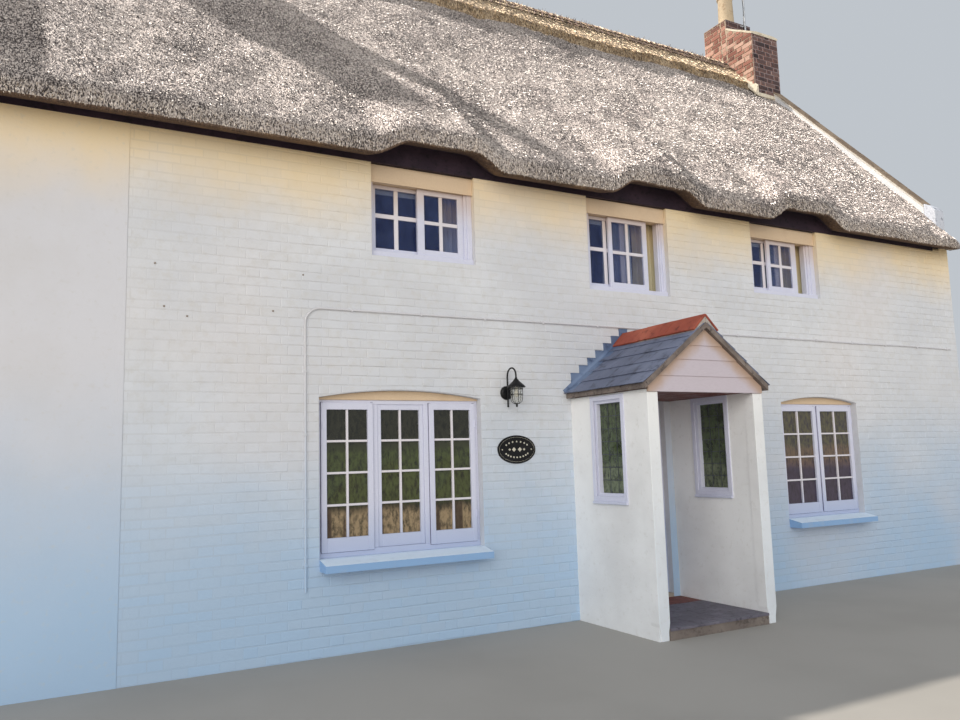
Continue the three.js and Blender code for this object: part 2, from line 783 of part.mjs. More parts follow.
// One half of a butt hinge: a knuckle on the axis, and a flat plate that ends at plateX
function hingeHalf(axisX, axisY, plateX, z0, z1) {
  const knuckle = new THREE.CylinderGeometry(HINGE_RADIUS, HINGE_RADIUS, z1 - z0, 16);
  knuckle.rotateX(Math.PI / 2).translate(axisX, axisY, (z0 + z1) / 2);
  const plateBack = axisY - HINGE_RADIUS - 1;
  const x0 = Math.min(plateX, axisX);
  const x1 = Math.max(plateX, axisX);
  const side = Math.sign(plateX - axisX) * DOOR_GAP / 2;
  const near = side > 0 ? x0 + side : x0;
  const far = side > 0 ? x1 : x1 + side;
  const plate = box(near, far, plateBack - 1, plateBack + HINGE_LEAF_THICKNESS, z0, z1);
  return join(knuckle, plate);
}

// Front door: it hangs on its left side and opens into the house
function addDoor() {
  const left = DOOR_CENTRE_X - DOORWAY_WIDTH / 2 + SEAM;
  const right = DOOR_CENTRE_X + DOORWAY_WIDTH / 2 - SEAM;
  const bottom = GROUND_FLOOR_TOP + SEAM;
  const top = DOORWAY_TOP - SEAM;
  const front = DOOR_FRAME_FRONT_Y;
  const back = front + DOOR_FRAME_DEPTH;
  const rebateLeft = left + DOOR_FRAME_WIDTH;
  const rebateRight = right - DOOR_FRAME_WIDTH;
  const rebateTop = top - DOOR_FRAME_HEAD;
  const clear = box(
    rebateLeft + DOOR_STOP,
    rebateRight - DOOR_STOP,
    front - DOOR_STOP,
    back + DOOR_STOP,
    0,
    rebateTop - DOOR_STOP,
  );
  const rebateY = back - DOOR_THICKNESS - DOOR_GAP;
  const rebate = box(rebateLeft, rebateRight, rebateY, back + DOOR_STOP, 0, rebateTop);
  const surround = cut(box(left, right, front, back, bottom, top), clear, rebate);
  const leaf = box(
    rebateLeft + DOOR_GAP,
    rebateRight - DOOR_LOCK_GAP,
    back - DOOR_THICKNESS,
    back,
    bottom + DOOR_GAP,
    rebateTop - DOOR_GAP,
  );

  const axisX = rebateLeft + DOOR_GAP / 2;
  const axisY = back + HINGE_RADIUS + 1;
  const fixed = HINGE_HEIGHTS.map((z) =>
    hingeHalf(axisX, axisY, axisX - HINGE_LEAF_WIDTH, z - HINGE_HALF_HEIGHT, z),
  );
  const moving = HINGE_HEIGHTS.map((z) =>
    hingeHalf(axisX, axisY, axisX + HINGE_LEAF_WIDTH, z + SEAM, z + HINGE_HALF_HEIGHT),
  );
  add("door_frame", join(surround, ...fixed), COLOURS.paint, 0.6);
  add("front_door", join(leaf, ...moving), COLOURS.paint, 0.5);

  const knob = new THREE.LatheGeometry(
    [
      [0, 0],
      [27, 0],
      [27, 6],
      [10, 9],
      [9, 30],
      [24, 40],
      [27, 52],
      [20, 62],
      [0, 65],
    ].map(([r, z]) => new THREE.Vector2(r, z)),
    16,
  );
  const knobInset = 62;
  knob.rotateX(Math.PI).translate(
    rebateRight - DOOR_LOCK_GAP - knobInset,
    back - DOOR_THICKNESS - SEAM,
    bottom + DOOR_KNOB_HEIGHT,
  );
  add("door_knob", knob, COLOURS.iron, 0.4, 0.8);
}

// Porch: two side walls with a narrow window each, a floor, a ceiling and a slated roof
function porchWall(side) {
  const inner = DOOR_CENTRE_X + side * PORCH_HALF_INSIDE;
  const outer = inner + side * PORCH_WALL;
  const x0 = Math.min(inner, outer);
  const x1 = Math.max(inner, outer);
  const { near, far, bottom, top } = PORCH_WINDOW;
  const opening = box(x0 - CUTTER_REACH, x1 + CUTTER_REACH, near, far, bottom, top);
  return cut(box(x0, x1, PORCH_FRONT_Y, -SEAM, 0, PORCH_WALL_TOP), opening);
}

function porchWindow(side) {
  const middle = DOOR_CENTRE_X + side * (PORCH_HALF_INSIDE + PORCH_WALL / 2);
  const { near, far, bottom, top } = PORCH_WINDOW;
  const stile = 38;
  const setback = 8;
  const half = PORCH_WALL / 2 - setback;
  const ring = cut(
    box(middle - half, middle + half, near + SEAM, far - SEAM, bottom + SEAM, top - SEAM),
    box(
      middle - PORCH_WALL,
      middle + PORCH_WALL,
      near + stile,
      far - stile,
      bottom + stile,
      top - stile,
    ),
  );
  const pane = box(
    middle - PANE_THICKNESS / 2,
    middle + PANE_THICKNESS / 2,
    near + stile - PANE_BITE,
    far - stile + PANE_BITE,
    bottom + stile - PANE_BITE,
    top - stile + PANE_BITE,
  );
  return join(ring, pane);
}

function addPorch() {
  const inside = PORCH_HALF_INSIDE - SEAM;
  add("porch_left_wall", porchWall(-1), COLOURS.whitewash);
  add("porch_right_wall", porchWall(1), COLOURS.whitewash);
  add("porch_left_window", porchWindow(-1), COLOURS.paint, 0.6);
  add("porch_right_window", porchWindow(1), COLOURS.paint, 0.6);
  const floor = box(
    DOOR_CENTRE_X - inside,
    DOOR_CENTRE_X + inside,
    PORCH_FRONT_Y - PORCH_FLOOR_NOSING,
    -SEAM,
    0,
    PORCH_FLOOR_TOP,
  );
  add("porch_floor", floor, COLOURS.tile, 0.7);
  const ceilingHalf = PORCH_HALF_INSIDE + PORCH_WALL / 2;
  const ceiling = box(
    DOOR_CENTRE_X - ceilingHalf,
    DOOR_CENTRE_X + ceilingHalf,
    PORCH_FRONT_Y,
    -SEAM,
    PORCH_WALL_TOP + SEAM,
    PORCH_WALL_TOP + SEAM + PORCH_CEILING_THICKNESS,
  );
  add("porch_ceiling", ceiling, COLOURS.redBoard);
}

// The porch roof, worked out from its eaves and apex
const PORCH_PITCH_RISE = (PORCH_ROOF_APEX - PORCH_ROOF_EAVES) / PORCH_ROOF_HALF_WIDTH;
const PORCH_PITCH_LENGTH = Math.hypot(1, PORCH_PITCH_RISE);

function porchRoofAt(distance) {
  return PORCH_ROOF_APEX - PORCH_PITCH_RISE * distance;
}

function addPorchRoof() {
  const drop = PORCH_ROOF_THICKNESS * PORCH_PITCH_LENGTH;
  const x = (distance) => DOOR_CENTRE_X + distance;
  const slope = shapeOf([
    [x(SEAM / 2), porchRoofAt(0)],
    [x(SEAM / 2), porchRoofAt(0) - drop],
    [x(PORCH_ROOF_HALF_WIDTH), porchRoofAt(PORCH_ROOF_HALF_WIDTH) - drop],
    [x(PORCH_ROOF_HALF_WIDTH), porchRoofAt(PORCH_ROOF_HALF_WIDTH)],
  ]);
  const right = extrudeAlongY(slope, PORCH_ROOF_FRONT_Y, -SEAM);
  const left = mirroredX(right).translate(2 * DOOR_CENTRE_X, 0, 0);
  add("porch_roof_right", right, COLOURS.slate, 0.8);
  add("porch_roof_left", left, COLOURS.slate, 0.8);

  const boardHalf = PORCH_HALF_INSIDE + PORCH_WALL;
  const under = (distance) => porchRoofAt(distance) - drop - SEAM;
  const gable = shapeOf([
    [x(-boardHalf), PORCH_BOARD_BOTTOM],
    [x(boardHalf), PORCH_BOARD_BOTTOM],
    [x(boardHalf), under(boardHalf)],
    [x(0), under(0)],
    [x(-boardHalf), under(boardHalf)],
  ]);
  const boardBack = PORCH_FRONT_Y - SEAM;
  add(
    "porch_gable_boards",
    extrudeAlongY(gable, boardBack - PORCH_BOARD_THICKNESS, boardBack),
    COLOURS.board,
    0.7,
  );

  const tileLeg = 108;
  const tileFlare = 6;
  const tileRise = 66;
  const tileThickness = 22;
  const bed = porchRoofAt(0) + tileRise - tileThickness;
  const foot = porchRoofAt(tileLeg) + SEAM;
  const tiles = shapeOf([
    [x(-tileLeg), foot],
    [x(0), bed],
    [x(tileLeg), foot],
    [x(tileLeg + tileFlare), foot + tileThickness],
    [x(0), bed + tileThickness],
    [x(-tileLeg - tileFlare), foot + tileThickness],
  ]);
  add(
    "porch_ridge_tiles",
    extrudeAlongY(tiles, PORCH_ROOF_FRONT_Y, -LEAD_THICKNESS - 2),
    COLOURS.terracotta,
    0.8,
  );
}

// Lead flashing let into the wall in steps, one for each brick course
function addFlashing() {
  const step = BRICK_COURSE / PORCH_PITCH_RISE;
  const top = CONDUIT.z - 12; // it stays under the conduit
  const steps = 6;
  const reach = (steps + 0.5) * step;
  const tileHalf = 115; // it passes over the ridge tiles
  const tileClear = 80;
  const lower = [
    [tileHalf - 10, porchRoofAt(tileHalf) + 40],
    [tileHalf, porchRoofAt(tileHalf) + 1],
    [reach, porchRoofAt(reach) + 1],
  ];
  const upper = [];
  for (let i = steps; i >= 0; i -= 1) {
    const out = (i + 0.5) * step;
    upper.push([out, top - (i + 1) * BRICK_COURSE], [out, top - i * BRICK_COURSE]);
  }
  upper.shift();
  const half = [...lower, ...upper];
  const points = [
    [0, porchRoofAt(0) + tileClear],
    ...half,
    ...half.map(([d, z]) => [-d, z]).reverse(),
  ].map(([d, z]) => [DOOR_CENTRE_X + d, z]);
  const sheet = extrudeAlongY(shapeOf(points), -LEAD_THICKNESS - SEAM, -SEAM);
  add("porch_flashing", sheet, COLOURS.lead, 0.5, 0.3);
}

// Fittings on the front wall
function tube(points, radius, steps, sides) {
  const section = new THREE.Shape();
  section.absarc(0, 0, radius, 0, 2 * Math.PI, false);
  const path = new THREE.CatmullRomCurve3(points.map((point) => new THREE.Vector3(...point)));
  return new THREE.ExtrudeGeometry(section, {
    steps,
    bevelEnabled: false,
    extrudePath: path,
    curveSegments: sides,
  });
}

function discOnWall(x, z, radiusX, radiusZ, thickness, sides) {
  const shape = new THREE.Shape();
  shape.absellipse(x, z, radiusX, radiusZ, 0, 2 * Math.PI, false, 0);
  return extrudeAlongY(shape, -thickness - SEAM, -SEAM, sides);
}

// A lantern on a swan neck, which springs from a rose on the wall
function addLantern() {
  const rose = discOnWall(
    LANTERN_X,
    LANTERN_ROSE_Z,
    LANTERN_ROSE_RADIUS,
    LANTERN_ROSE_RADIUS,
    26,
    12,
  );
  const rodY = -LANTERN_ROD_REACH;
  const out = -LANTERN_REACH;
  const bend = LANTERN_NECK_RISE / 4;
  const shoulder = LANTERN_TOP + 3 * bend;
  const neck = tube(
    [
      [LANTERN_X, rodY, LANTERN_ROD_BOTTOM],
      [LANTERN_X, rodY, LANTERN_ROSE_Z],
      [LANTERN_X, rodY, LANTERN_TOP - 2 * bend],
      [LANTERN_X, rodY - 2, LANTERN_TOP + bend / 2],
      [LANTERN_X, rodY - bend, shoulder],
      [LANTERN_X, (rodY + out) / 2, LANTERN_TOP + LANTERN_NECK_RISE],
      [LANTERN_X, out + bend, shoulder],
      [LANTERN_X, out, LANTERN_TOP + bend],
      [LANTERN_X, out, LANTERN_TOP],
    ],
    8,
    24,
    4,
  );
  add("lantern_bracket", join(rose, neck), COLOURS.iron, 0.5, 0.5);
  const lantern = new THREE.LatheGeometry(
    [
      [0, -263],
      [8, -263],
      [10, -236],
      [26, -232],
      [46, -214],
      [54, -190],
      [57, -148],
      [57, -90],
      [80, -88],
      [78, -78],
      [34, -38],
      [12, -6],
      [9, -SEAM],
      [0, -SEAM],
    ].map(([r, z]) => new THREE.Vector2(r, z + LANTERN_TOP)),
    16,
  );
  lantern.rotateX(Math.PI / 2).translate(LANTERN_X, out, 0);
  add("lantern", lantern, COLOURS.iron, 0.4, 0.3);
}

// A thin conduit that climbs the wall, bends and runs along it to the right
function addConduit() {
  const { left, right, bottom, z, bend, radius } = CONDUIT;
  const front = -2 * radius - SEAM;
  const elbow = new THREE.Shape();
  const centreX = left + bend;
  const centreZ = z - bend;
  elbow.absarc(centreX, centreZ, bend + radius, Math.PI / 2, Math.PI, false);
  elbow.absarc(centreX, centreZ, bend - radius, Math.PI, Math.PI / 2, true);
  const conduit = join(
    box(left - radius, left + radius, front, -SEAM, bottom, centreZ),
    extrudeAlongY(elbow, front, -SEAM, 8),
    box(centreX, right, front, -SEAM, z - radius, z + radius),
  );
  add("wall_conduit", conduit, COLOURS.whitewash);
}

function addPlaque() {
  const { x, z, halfWidth, halfHeight, thickness } = PLAQUE;
  add("oval_plaque", discOnWall(x, z, halfWidth, halfHeight, thickness, 20), COLOURS.iron, 0.5);
}

addLongWalls();
addGableWalls();
addFloors();
addThatch();
addEavesBoards();
addParapets();
addChimneys();
addMast();
addWindows();
addDoor();
addPorch();
addPorchRoof();
addFlashing();
addPlaque();
addLantern();
addConduit();

// The origin is on the ground, at the middle of the plan from the porch to the rear eaves
const planMiddle = (PORCH_ROOF_FRONT_Y + HOUSE_DEPTH + EAVES_REACH) / 2;
cottage.position.set(0, -planMiddle, 0);

export default cottage;
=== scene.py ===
import json
import math

import bpy
import numpy as np
from mathutils import Matrix, Vector

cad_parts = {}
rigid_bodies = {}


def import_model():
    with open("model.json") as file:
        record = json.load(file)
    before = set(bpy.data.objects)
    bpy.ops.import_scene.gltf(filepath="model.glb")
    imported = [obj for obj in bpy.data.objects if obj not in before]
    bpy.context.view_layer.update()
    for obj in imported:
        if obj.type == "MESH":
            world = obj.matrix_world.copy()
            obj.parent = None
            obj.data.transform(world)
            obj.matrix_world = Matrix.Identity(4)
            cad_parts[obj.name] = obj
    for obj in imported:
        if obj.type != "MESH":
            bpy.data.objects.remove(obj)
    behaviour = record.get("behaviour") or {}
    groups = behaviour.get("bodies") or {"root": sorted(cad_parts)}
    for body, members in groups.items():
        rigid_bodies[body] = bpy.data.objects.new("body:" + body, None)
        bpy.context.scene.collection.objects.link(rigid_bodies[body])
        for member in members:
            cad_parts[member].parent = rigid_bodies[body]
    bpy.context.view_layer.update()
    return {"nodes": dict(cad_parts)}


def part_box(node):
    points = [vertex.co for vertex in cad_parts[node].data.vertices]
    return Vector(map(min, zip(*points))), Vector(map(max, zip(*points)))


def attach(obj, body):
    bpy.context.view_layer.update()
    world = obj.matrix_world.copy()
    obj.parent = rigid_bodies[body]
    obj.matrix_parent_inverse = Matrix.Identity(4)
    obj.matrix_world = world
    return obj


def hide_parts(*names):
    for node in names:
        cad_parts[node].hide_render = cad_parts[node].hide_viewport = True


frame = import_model()
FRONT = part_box("front_wall_left")[0].y  # the front wall's face in the row frame

# Sizes of the house
HALF_LENGTH = 5.6
DEPTH = 6.2
WALL_TOP = 4.01
WALL_UNDER_COPING = 4.32
RIDGE_Y = 3.1
ROOF_RISE = 1.116
THATCH_AT_WALL = 4.43
THATCH_UNDERSIDE = 4.056
RIDGE_TOP = 8.04
PARAPET_X = 5.427  # inner faces of the gables' parapets
OUTER_X = 5.6115  # the copings end here
COPING_TOP = 4.549  # over the wall's face; it climbs with the roof from there
COPING_THICKNESS = 0.055
KNEELER = 0.15
GABLE_BRICKS_TOP = 7.96
FRONT_EYEBROWS = (-1.94, 0.48, 2.66)
REAR_EYEBROWS = (-2.66, 1.94)
BRICK_COURSE = 0.075
RENDER_EDGE = -4.401  # the front is rendered smooth to the left of this line
ARCH_SPRING = 2.0
ARCH_CROWN = 2.063
ARCH_BOARD = 1.985  # lower edge of the board under each arch
CASEMENT_TOP = 1.949
DOOR_X = 0.09
DOOR_FRAME_HALF = 0.4702
CHIMNEY = {"inner": 5.02, "front": 2.46, "stack": 2.99, "back": 3.49}
CHIMNEY_SHOULDER = 8.245
CHIMNEY_SHOULDER_TOP = 8.56
CHIMNEY_TOP = 8.73
UPPER_OPENINGS = {
    "upper_window_left": (-2.515, -1.53, 3.2),
    "upper_window_middle": (-0.28, 0.74, 3.075),
    "upper_window_right": (1.95, 3.03, 3.21),
}
GROUND_OPENINGS = {
    "ground_window_left": (-2.977, -1.52, 0.7, 3),
    "ground_window_right": (2.24, 3.495, 0.7, 2),
}
REAR_UPPER_OPENINGS = {
    "rear_upper_window_left": (1.43, 2.45, 3.2),
    "rear_upper_window_right": (-3.17, -2.15, 3.2),
}
REAR_GROUND_OPENINGS = {
    "rear_ground_window_left": (1.25, 2.63, 0.7, 3),
    "rear_ground_window_right": (-3.35, -1.97, 0.7, 3),
}
PORCH_INSIDE = 0.55
PORCH_WALL = 0.1
PORCH_CEILING = 2.008
PORCH_ROOF_FRONT = -1.135
PORCH_HALF_ROOF = 0.7
PORCH_EAVES = 2.055
PORCH_APEX = 2.588
SIDES = ((1, "right"), (-1, "left"))
GAP = 0.0005  # keeps pieces clear of the CAD faces beside them

rng = np.random.default_rng(23)


# Camera at the photograph's angle
def add_camera():
    yaw, pitch, roll = (math.radians(a) for a in (28.568, 6.976, -1.642))
    look = Vector((math.sin(yaw) * math.cos(pitch), math.cos(yaw) * math.cos(pitch), math.sin(pitch)))
    level = Vector((math.cos(yaw), -math.sin(yaw), 0))
    upright = level.cross(look)
    right = level * math.cos(roll) + upright * math.sin(roll)
    up = upright * math.cos(roll) - level * math.sin(roll)
    data = bpy.data.cameras.new("camera")
    data.lens = 30.15
    data.sensor_width = 36
    data.clip_end = 200
    camera = bpy.data.objects.new("camera", data)
    turn = Matrix((right, up, -look)).transposed().to_4x4()
    camera.matrix_world = Matrix.Translation((-4.89, -8.8575, 1.48)) @ turn
    bpy.context.scene.collection.objects.link(camera)
    bpy.context.scene.camera = camera


add_camera()


# Noise and mesh building
def ease(t):
    """Runs smoothly from 0 to 1 with t."""
    t = np.clip(t, 0, 1)
    return t * t * (3 - 2 * t)


def wave(u, v, seed=0.0):
    """Smooth noise from -1 to 1, with about one swell for each unit of u and v."""
    u, v = np.broadcast_arrays(np.asarray(u, float), np.asarray(v, float))
    iu, iv = np.floor(u), np.floor(v)
    fu, fv = ease(u - iu), ease(v - iv)

    def corner(a, b):
        s = np.sin(a * 127.1 + b * 311.7 + seed * 74.7) * 43758.5453
        return 2 * (s - np.floor(s)) - 1

    near = corner(iu, iv) * (1 - fu) + corner(iu + 1, iv) * fu
    far = corner(iu, iv + 1) * (1 - fu) + corner(iu + 1, iv + 1) * fu
    return near * (1 - fv) + far * fv


def waves(u, v, seed, *rows):
    """A sum of waves. Each row gives a height and the number of swells for each metre of u and v."""
    return sum(height * wave(u * a, v * b, seed + i) for i, (height, a, b) in enumerate(rows))


def turns(count, start=0.0):
    """Cosine and sine of equal steps round a circle."""
    steps = [start + 2 * math.pi * i / count for i in range(count)]
    return [(math.cos(a), math.sin(a)) for a in steps]


def along_y(p, q, t):
    """Places an outline in x and z that is drawn along y."""
    return p, t, q


def upright(x, y, z):
    """Places a turned shape whose axis rises from a point."""
    return lambda a, b, h: (x + a, y + b, z + h)


def outward(x, y, z):
    """Places a turned shape whose axis points to the street from a point."""
    return lambda a, b, h: (x + a, y - h, z + b)


def unit(vectors):
    """The same vectors at length one."""
    return vectors / np.maximum(np.linalg.norm(vectors, axis=1), 1e-9)[:, None]


BOX = [(0, 1, 3, 2), (4, 6, 7, 5), (0, 4, 5, 1), (2, 3, 7, 6), (0, 2, 6, 4), (1, 5, 7, 3)]


class Shape:
    """Closed solids gathered into one piece, in house coordinates."""

    def __init__(self):
        self.points, self.faces, self.marks, self.count = [], [], [], 0

    def bulk(self, points, faces, mark=0):
        """points (n, v, 3) are n copies of one closed solid; faces give its corners by number."""
        points = np.asarray(points, float)
        if points.ndim == 2:
            points = points[None]
        first = points[0]
        corners = [(f[0], f[i], f[i + 1]) for f in faces for i in range(1, len(f) - 1)]
        volume = sum(first[a] @ np.cross(first[b], first[c]) for a, b, c in corners)
        n, v = points.shape[:2]
        for size in sorted({len(f) for f in faces}):
            ring = np.array([f if volume > 0 else f[::-1] for f in faces if len(f) == size])
            index = self.count + (np.arange(n) * v)[:, None, None] + ring[None]
            self.faces.append(index.reshape(-1, size))
            self.marks.append(np.full(n * len(ring), mark))
        self.points.append(points.reshape(-1, 3))
        self.count += n * v

    def box(self, x0, x1, y0, y1, z0, z1, mark=0, place=None):
        corners = [(x, y, z) for x in (x0, x1) for y in (y0, y1) for z in (z0, z1)]
        self.bulk([place(*c) for c in corners] if place else corners, BOX, mark)

    def frame(self, x, z, depth, widths, place):
        """Stiles and rails round the ranges x and z. widths: left, right, top, bottom."""
        (x0, x1), (z0, z1), (left, right, top, bottom) = x, z, widths
        self.box(x0, x0 + left, *depth, z0, z1, 0, place)
        self.box(x1 - right, x1, *depth, z0, z1, 0, place)
        self.box(x0 + left, x1 - right, *depth, z0, z0 + bottom, 0, place)
        self.box(x0 + left, x1 - right, *depth, z1 - top, z1, 0, place)

    def prism(self, outline, place, start, end, mark=0):
        """An outline (p, q) drawn out from start to end; place(p, q, t) gives the point."""
        n = len(outline)
        points = [place(p, q, t) for t in (start, end) for p, q in outline]
        sides = [(i, (i + 1) % n, n + (i + 1) % n, n + i) for i in range(n)]
        self.bulk(points, [tuple(range(n))[::-1], tuple(range(n, 2 * n)), *sides], mark)

    def rings(self, rings, mark=0, closed=False):
        """A solid through rings of points, closed onto itself or with a face at each end."""
        rings = np.asarray(rings, float)
        m, k = rings.shape[:2]
        faces = []
        for i in range(m if closed else m - 1):
            a, b = i * k, (i + 1) % m * k
            faces += [(a + j, a + (j + 1) % k, b + (j + 1) % k, b + j) for j in range(k)]
        if not closed:
            faces += [tuple(range(k))[::-1], tuple(range((m - 1) * k, m * k))]
        self.bulk(rings.reshape(-1, 3), faces, mark)

    def tube(self, path, radius, sides=8, mark=0):
        path = np.asarray(path, float)
        radii = np.broadcast_to(radius, len(path))
        along = unit(np.gradient(path, axis=0))
        side = np.cross(along[0], (0.31, 0.17, 0.93))
        rings = []
        for p, d, r in zip(path, along, radii):
            side = side - d * (side @ d)
            side /= np.linalg.norm(side)
            other = np.cross(d, side)
            rings.append([p + r * (side * cos + other * sin) for cos, sin in turns(sides)])
        self.rings(rings, mark)

    def lathe(self, profile, place, sides=24, mark=0, closed=False):
        """profile (radius, height) turned about an axis; place(a, b, height) gives the point."""
        turn = turns(sides)
        self.rings([[place(r * cos, r * sin, h) for cos, sin in turn] for r, h in profile], mark, closed)

    def make(self, name, materials, body="house", slot=None, replaces=(), bevel=0, smooth=None):
        """Makes the piece on its body. smooth is the angle below which edges are shaded smooth."""
        points = np.concatenate(self.points)
        points[:, 1] += FRONT
        sizes = np.concatenate([np.full(len(f), f.shape[1]) for f in self.faces])
        mesh = bpy.data.meshes.new(name)
        mesh.vertices.add(len(points))
        mesh.vertices.foreach_set("co", points.ravel())
        mesh.loops.add(int(sizes.sum()))
        mesh.loops.foreach_set("vertex_index", np.concatenate([f.ravel() for f in self.faces]))
        mesh.polygons.add(len(sizes))
        mesh.polygons.foreach_set("loop_start", np.cumsum(sizes) - sizes)
        mesh.polygons.foreach_set("material_index", np.concatenate(self.marks))
        mesh.update(calc_edges=True)
        piece = bpy.data.objects.new(name, mesh)
        bpy.context.scene.collection.objects.link(piece)
        for material in materials if isinstance(materials, (list, tuple)) else [materials]:
            mesh.materials.append(material)
        mesh.polygons.foreach_set("use_smooth", np.full(len(sizes), bool(smooth)))
        if smooth:
            mesh.set_sharp_from_angle(angle=math.radians(smooth))
        if bevel:
            add_bevel(piece, bevel)
        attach(piece, body)
        if replaces:
            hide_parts(*replaces)
        return piece


def add_bevel(piece, width):
    edge = piece.modifiers.new("edges", "BEVEL")
    edge.width = width
    edge.segments = 1
    edge.limit_method = "ANGLE"
    edge.angle_limit = math.radians(40)


# Materials
def rgb(text):
    """A colour written as six hexadecimal digits, as the linear colour that shaders use."""
    parts = [int(text[i : i + 2], 16) / 255 for i in (0, 2, 4)]
    return tuple(c / 12.92 if c <= 0.04045 else ((c + 0.055) / 1.055) ** 2.4 for c in parts) + (1,)


class Finish:
    """A procedural material, built node by node round one Principled shader."""

    def __init__(self, name, colour="808080", roughness=0.8, metallic=0.0, **sockets):
        self.material = bpy.data.materials.new(name)
        self.material.use_nodes = True
        self.tree = self.material.node_tree
        self.shader = self.tree.nodes["Principled BSDF"]
        self.point = self.node("TexCoord").outputs["Object"]
        self.put("Base Color", rgb(colour))
        self.put("Roughness", roughness)
        self.put("Metallic", metallic)
        for socket, value in sockets.items():
            self.put(socket.replace("_", " "), value)

    def put(self, socket, value):
        self.feed(self.shader.inputs[socket], value)
        return self

    def feed(self, socket, value):
        if isinstance(value, bpy.types.NodeSocket):
            self.tree.links.new(value, socket)
        else:
            socket.default_value = value

    def node(self, kind, inputs=None, **settings):
        node = self.tree.nodes.new("ShaderNode" + kind)
        for key, value in settings.items():
            setattr(node, key, value)
        for key, value in (inputs or {}).items():
            self.feed(node.inputs[key], value)
        return node

    def placed(self, stretch=(1, 1, 1), turn=(0, 0, 0)):
        turned = self.point
        if any(turn):
            turned = self.node("Mapping", {"Vector": turned, "Rotation": turn}).outputs[0]
        if stretch != (1, 1, 1):
            turned = self.node("Mapping", {"Vector": turned, "Scale": stretch}).outputs[0]
        return turned

    def noise(self, scale, detail=3, rough=0.55, stretch=(1, 1, 1), turn=(0, 0, 0)):
        place = self.placed(stretch, turn)
        inputs = {"Vector": place, "Scale": scale, "Detail": detail, "Roughness": rough}
        return self.node("TexNoise", inputs).outputs["Fac"]

    def cells(self, scale, stretch):
        return self.node("TexVoronoi", {"Vector": self.placed(stretch), "Scale": scale}).outputs["Distance"]

    def island(self):
        return self.node("NewGeometry").outputs["Random Per Island"]

    def axis(self, letter):
        return self.node("SeparateXYZ", {"Vector": self.point}).outputs[letter]

    def facing(self, letter):
        """How far the surface faces along an axis of the row frame."""
        normal = self.node("NewGeometry").outputs["Normal"]
        return self.node("SeparateXYZ", {"Vector": normal}).outputs[letter]

    def ramp(self, value, stops):
        """stops are (place, colour) pairs."""
        node = self.node("ValToRGB", {"Fac": value})
        marks = node.color_ramp.elements
        while len(marks) < len(stops):
            marks.new(0.5)
        for mark, (place, colour) in zip(marks, stops):
            mark.position = place
            mark.color = rgb(colour)
        return node.outputs["Color"]

    def band(self, value, low, high, start=0.0, end=1.0):
        """Runs smoothly from start to end while value runs from low to high."""
        inputs = {"Value": value, 1: low, 2: high, 3: start, 4: end}
        return self.node("MapRange", inputs, interpolation_type="SMOOTHSTEP").outputs[0]

    def math(self, operation, a, b=0.0):
        return self.node("Math", {0: a, 1: b}, operation=operation).outputs[0]

    def add(self, a, b):
        return self.math("ADD", a, b)

    def times(self, a, b):
        return self.math("MULTIPLY", a, b)

    def mix(self, share, a, b, mode="MIX"):
        node = self.node("Mix", data_type="RGBA", blend_type=mode)
        a, b = (rgb(c) if isinstance(c, str) else c for c in (a, b))
        for i, value in ((0, share), (6, a), (7, b)):
            self.feed(node.inputs[i], value)
        return node.outputs[2]

    def bump(self, height, distance, strength):
        inputs = {"Height": height, "Distance": distance, "Strength": strength}
        self.put("Normal", self.node("Bump", inputs).outputs[0])
        return self

    def done(self, colour, *bumps):
        self.put("Base Color", colour)
        return self.bump(*bumps).material


SLOPE_TURN = math.atan(ROOF_RISE)
SLOPE_LENGTH = math.hypot(1, ROOF_RISE)


def painted_wall_light(f, colour, painted_shade_share=0.95):
    """Painted warm light below the eaves of the front and rear walls, and painted cool shade near the
    ground.
    """
    height = f.axis("Z")
    loose = f.add(height, f.times(f.noise(1.7, 3), 0.5))
    # Painted warm light below the eaves, standing for light bounced up onto the walls; the gables go without
    # it.
    straw = f.times(f.band(loose, 3.5, 4.3, 0, 0.88), f.band(height, 4.4, 4.3))
    off_gable = f.band(f.math("ABSOLUTE", f.axis("X")), HALF_LENGTH - 0.001, HALF_LENGTH - 0.004)
    # Painted cool shade towards the ground, strongest on faces towards the street.
    front = f.band(f.facing("Y"), -0.2, -0.7, painted_shade_share * 0.3, painted_shade_share)
    painted_cool_shade = f.times(f.band(loose, 2.6, 0.5), front)
    return f.mix(painted_cool_shade, f.mix(f.times(straw, off_gable), colour, "f8dca8"), "aac6e2")


def limewash(name, joint=False):
    f = Finish(name, roughness=0.92)
    colour = f.mix(f.band(f.noise(0.9, 4, 0.6), 0.35, 0.65), "dadbdf", "e4e5e8")
    colour = f.mix(f.band(f.noise(14, 5, 0.65), 0.45, 0.75, 0, 0.5), colour, "d2cfca")
    colour = f.mix(f.band(f.noise(0.45, 2), 0.5, 0.72, 0, 0.3), painted_wall_light(f, colour), "e2d4cd")
    if joint:
        colour = f.mix(0.14, colour, "a9a49b")
    else:
        colour = f.mix(f.band(f.island(), 0, 1, 0, 0.12), colour, "c8c4bd")
    f.put("Base Color", colour)
    rough = f.add(f.noise(55, 4, 0.6), f.times(f.noise(9, 3), 1.5))
    return f.bump(rough, 0.0022, 0.8).material


def smooth_wash(name, tint="dddce0", painted_shade_share=0.95):
    f = Finish(name, roughness=0.88)
    colour = f.mix(f.band(f.noise(1.3, 4), 0.35, 0.7, 0, 0.4), tint, "d0ccc9")
    colour = f.mix(f.band(f.noise(26, 4), 0.55, 0.8, 0, 0.3), painted_wall_light(f, colour, painted_shade_share), "ccc8c0")
    f.put("Base Color", colour)
    trowel = f.add(f.noise(7, 4, 0.6, (1, 1, 2.2)), f.noise(60, 3))
    return f.bump(trowel, 0.0018, 0.6).material


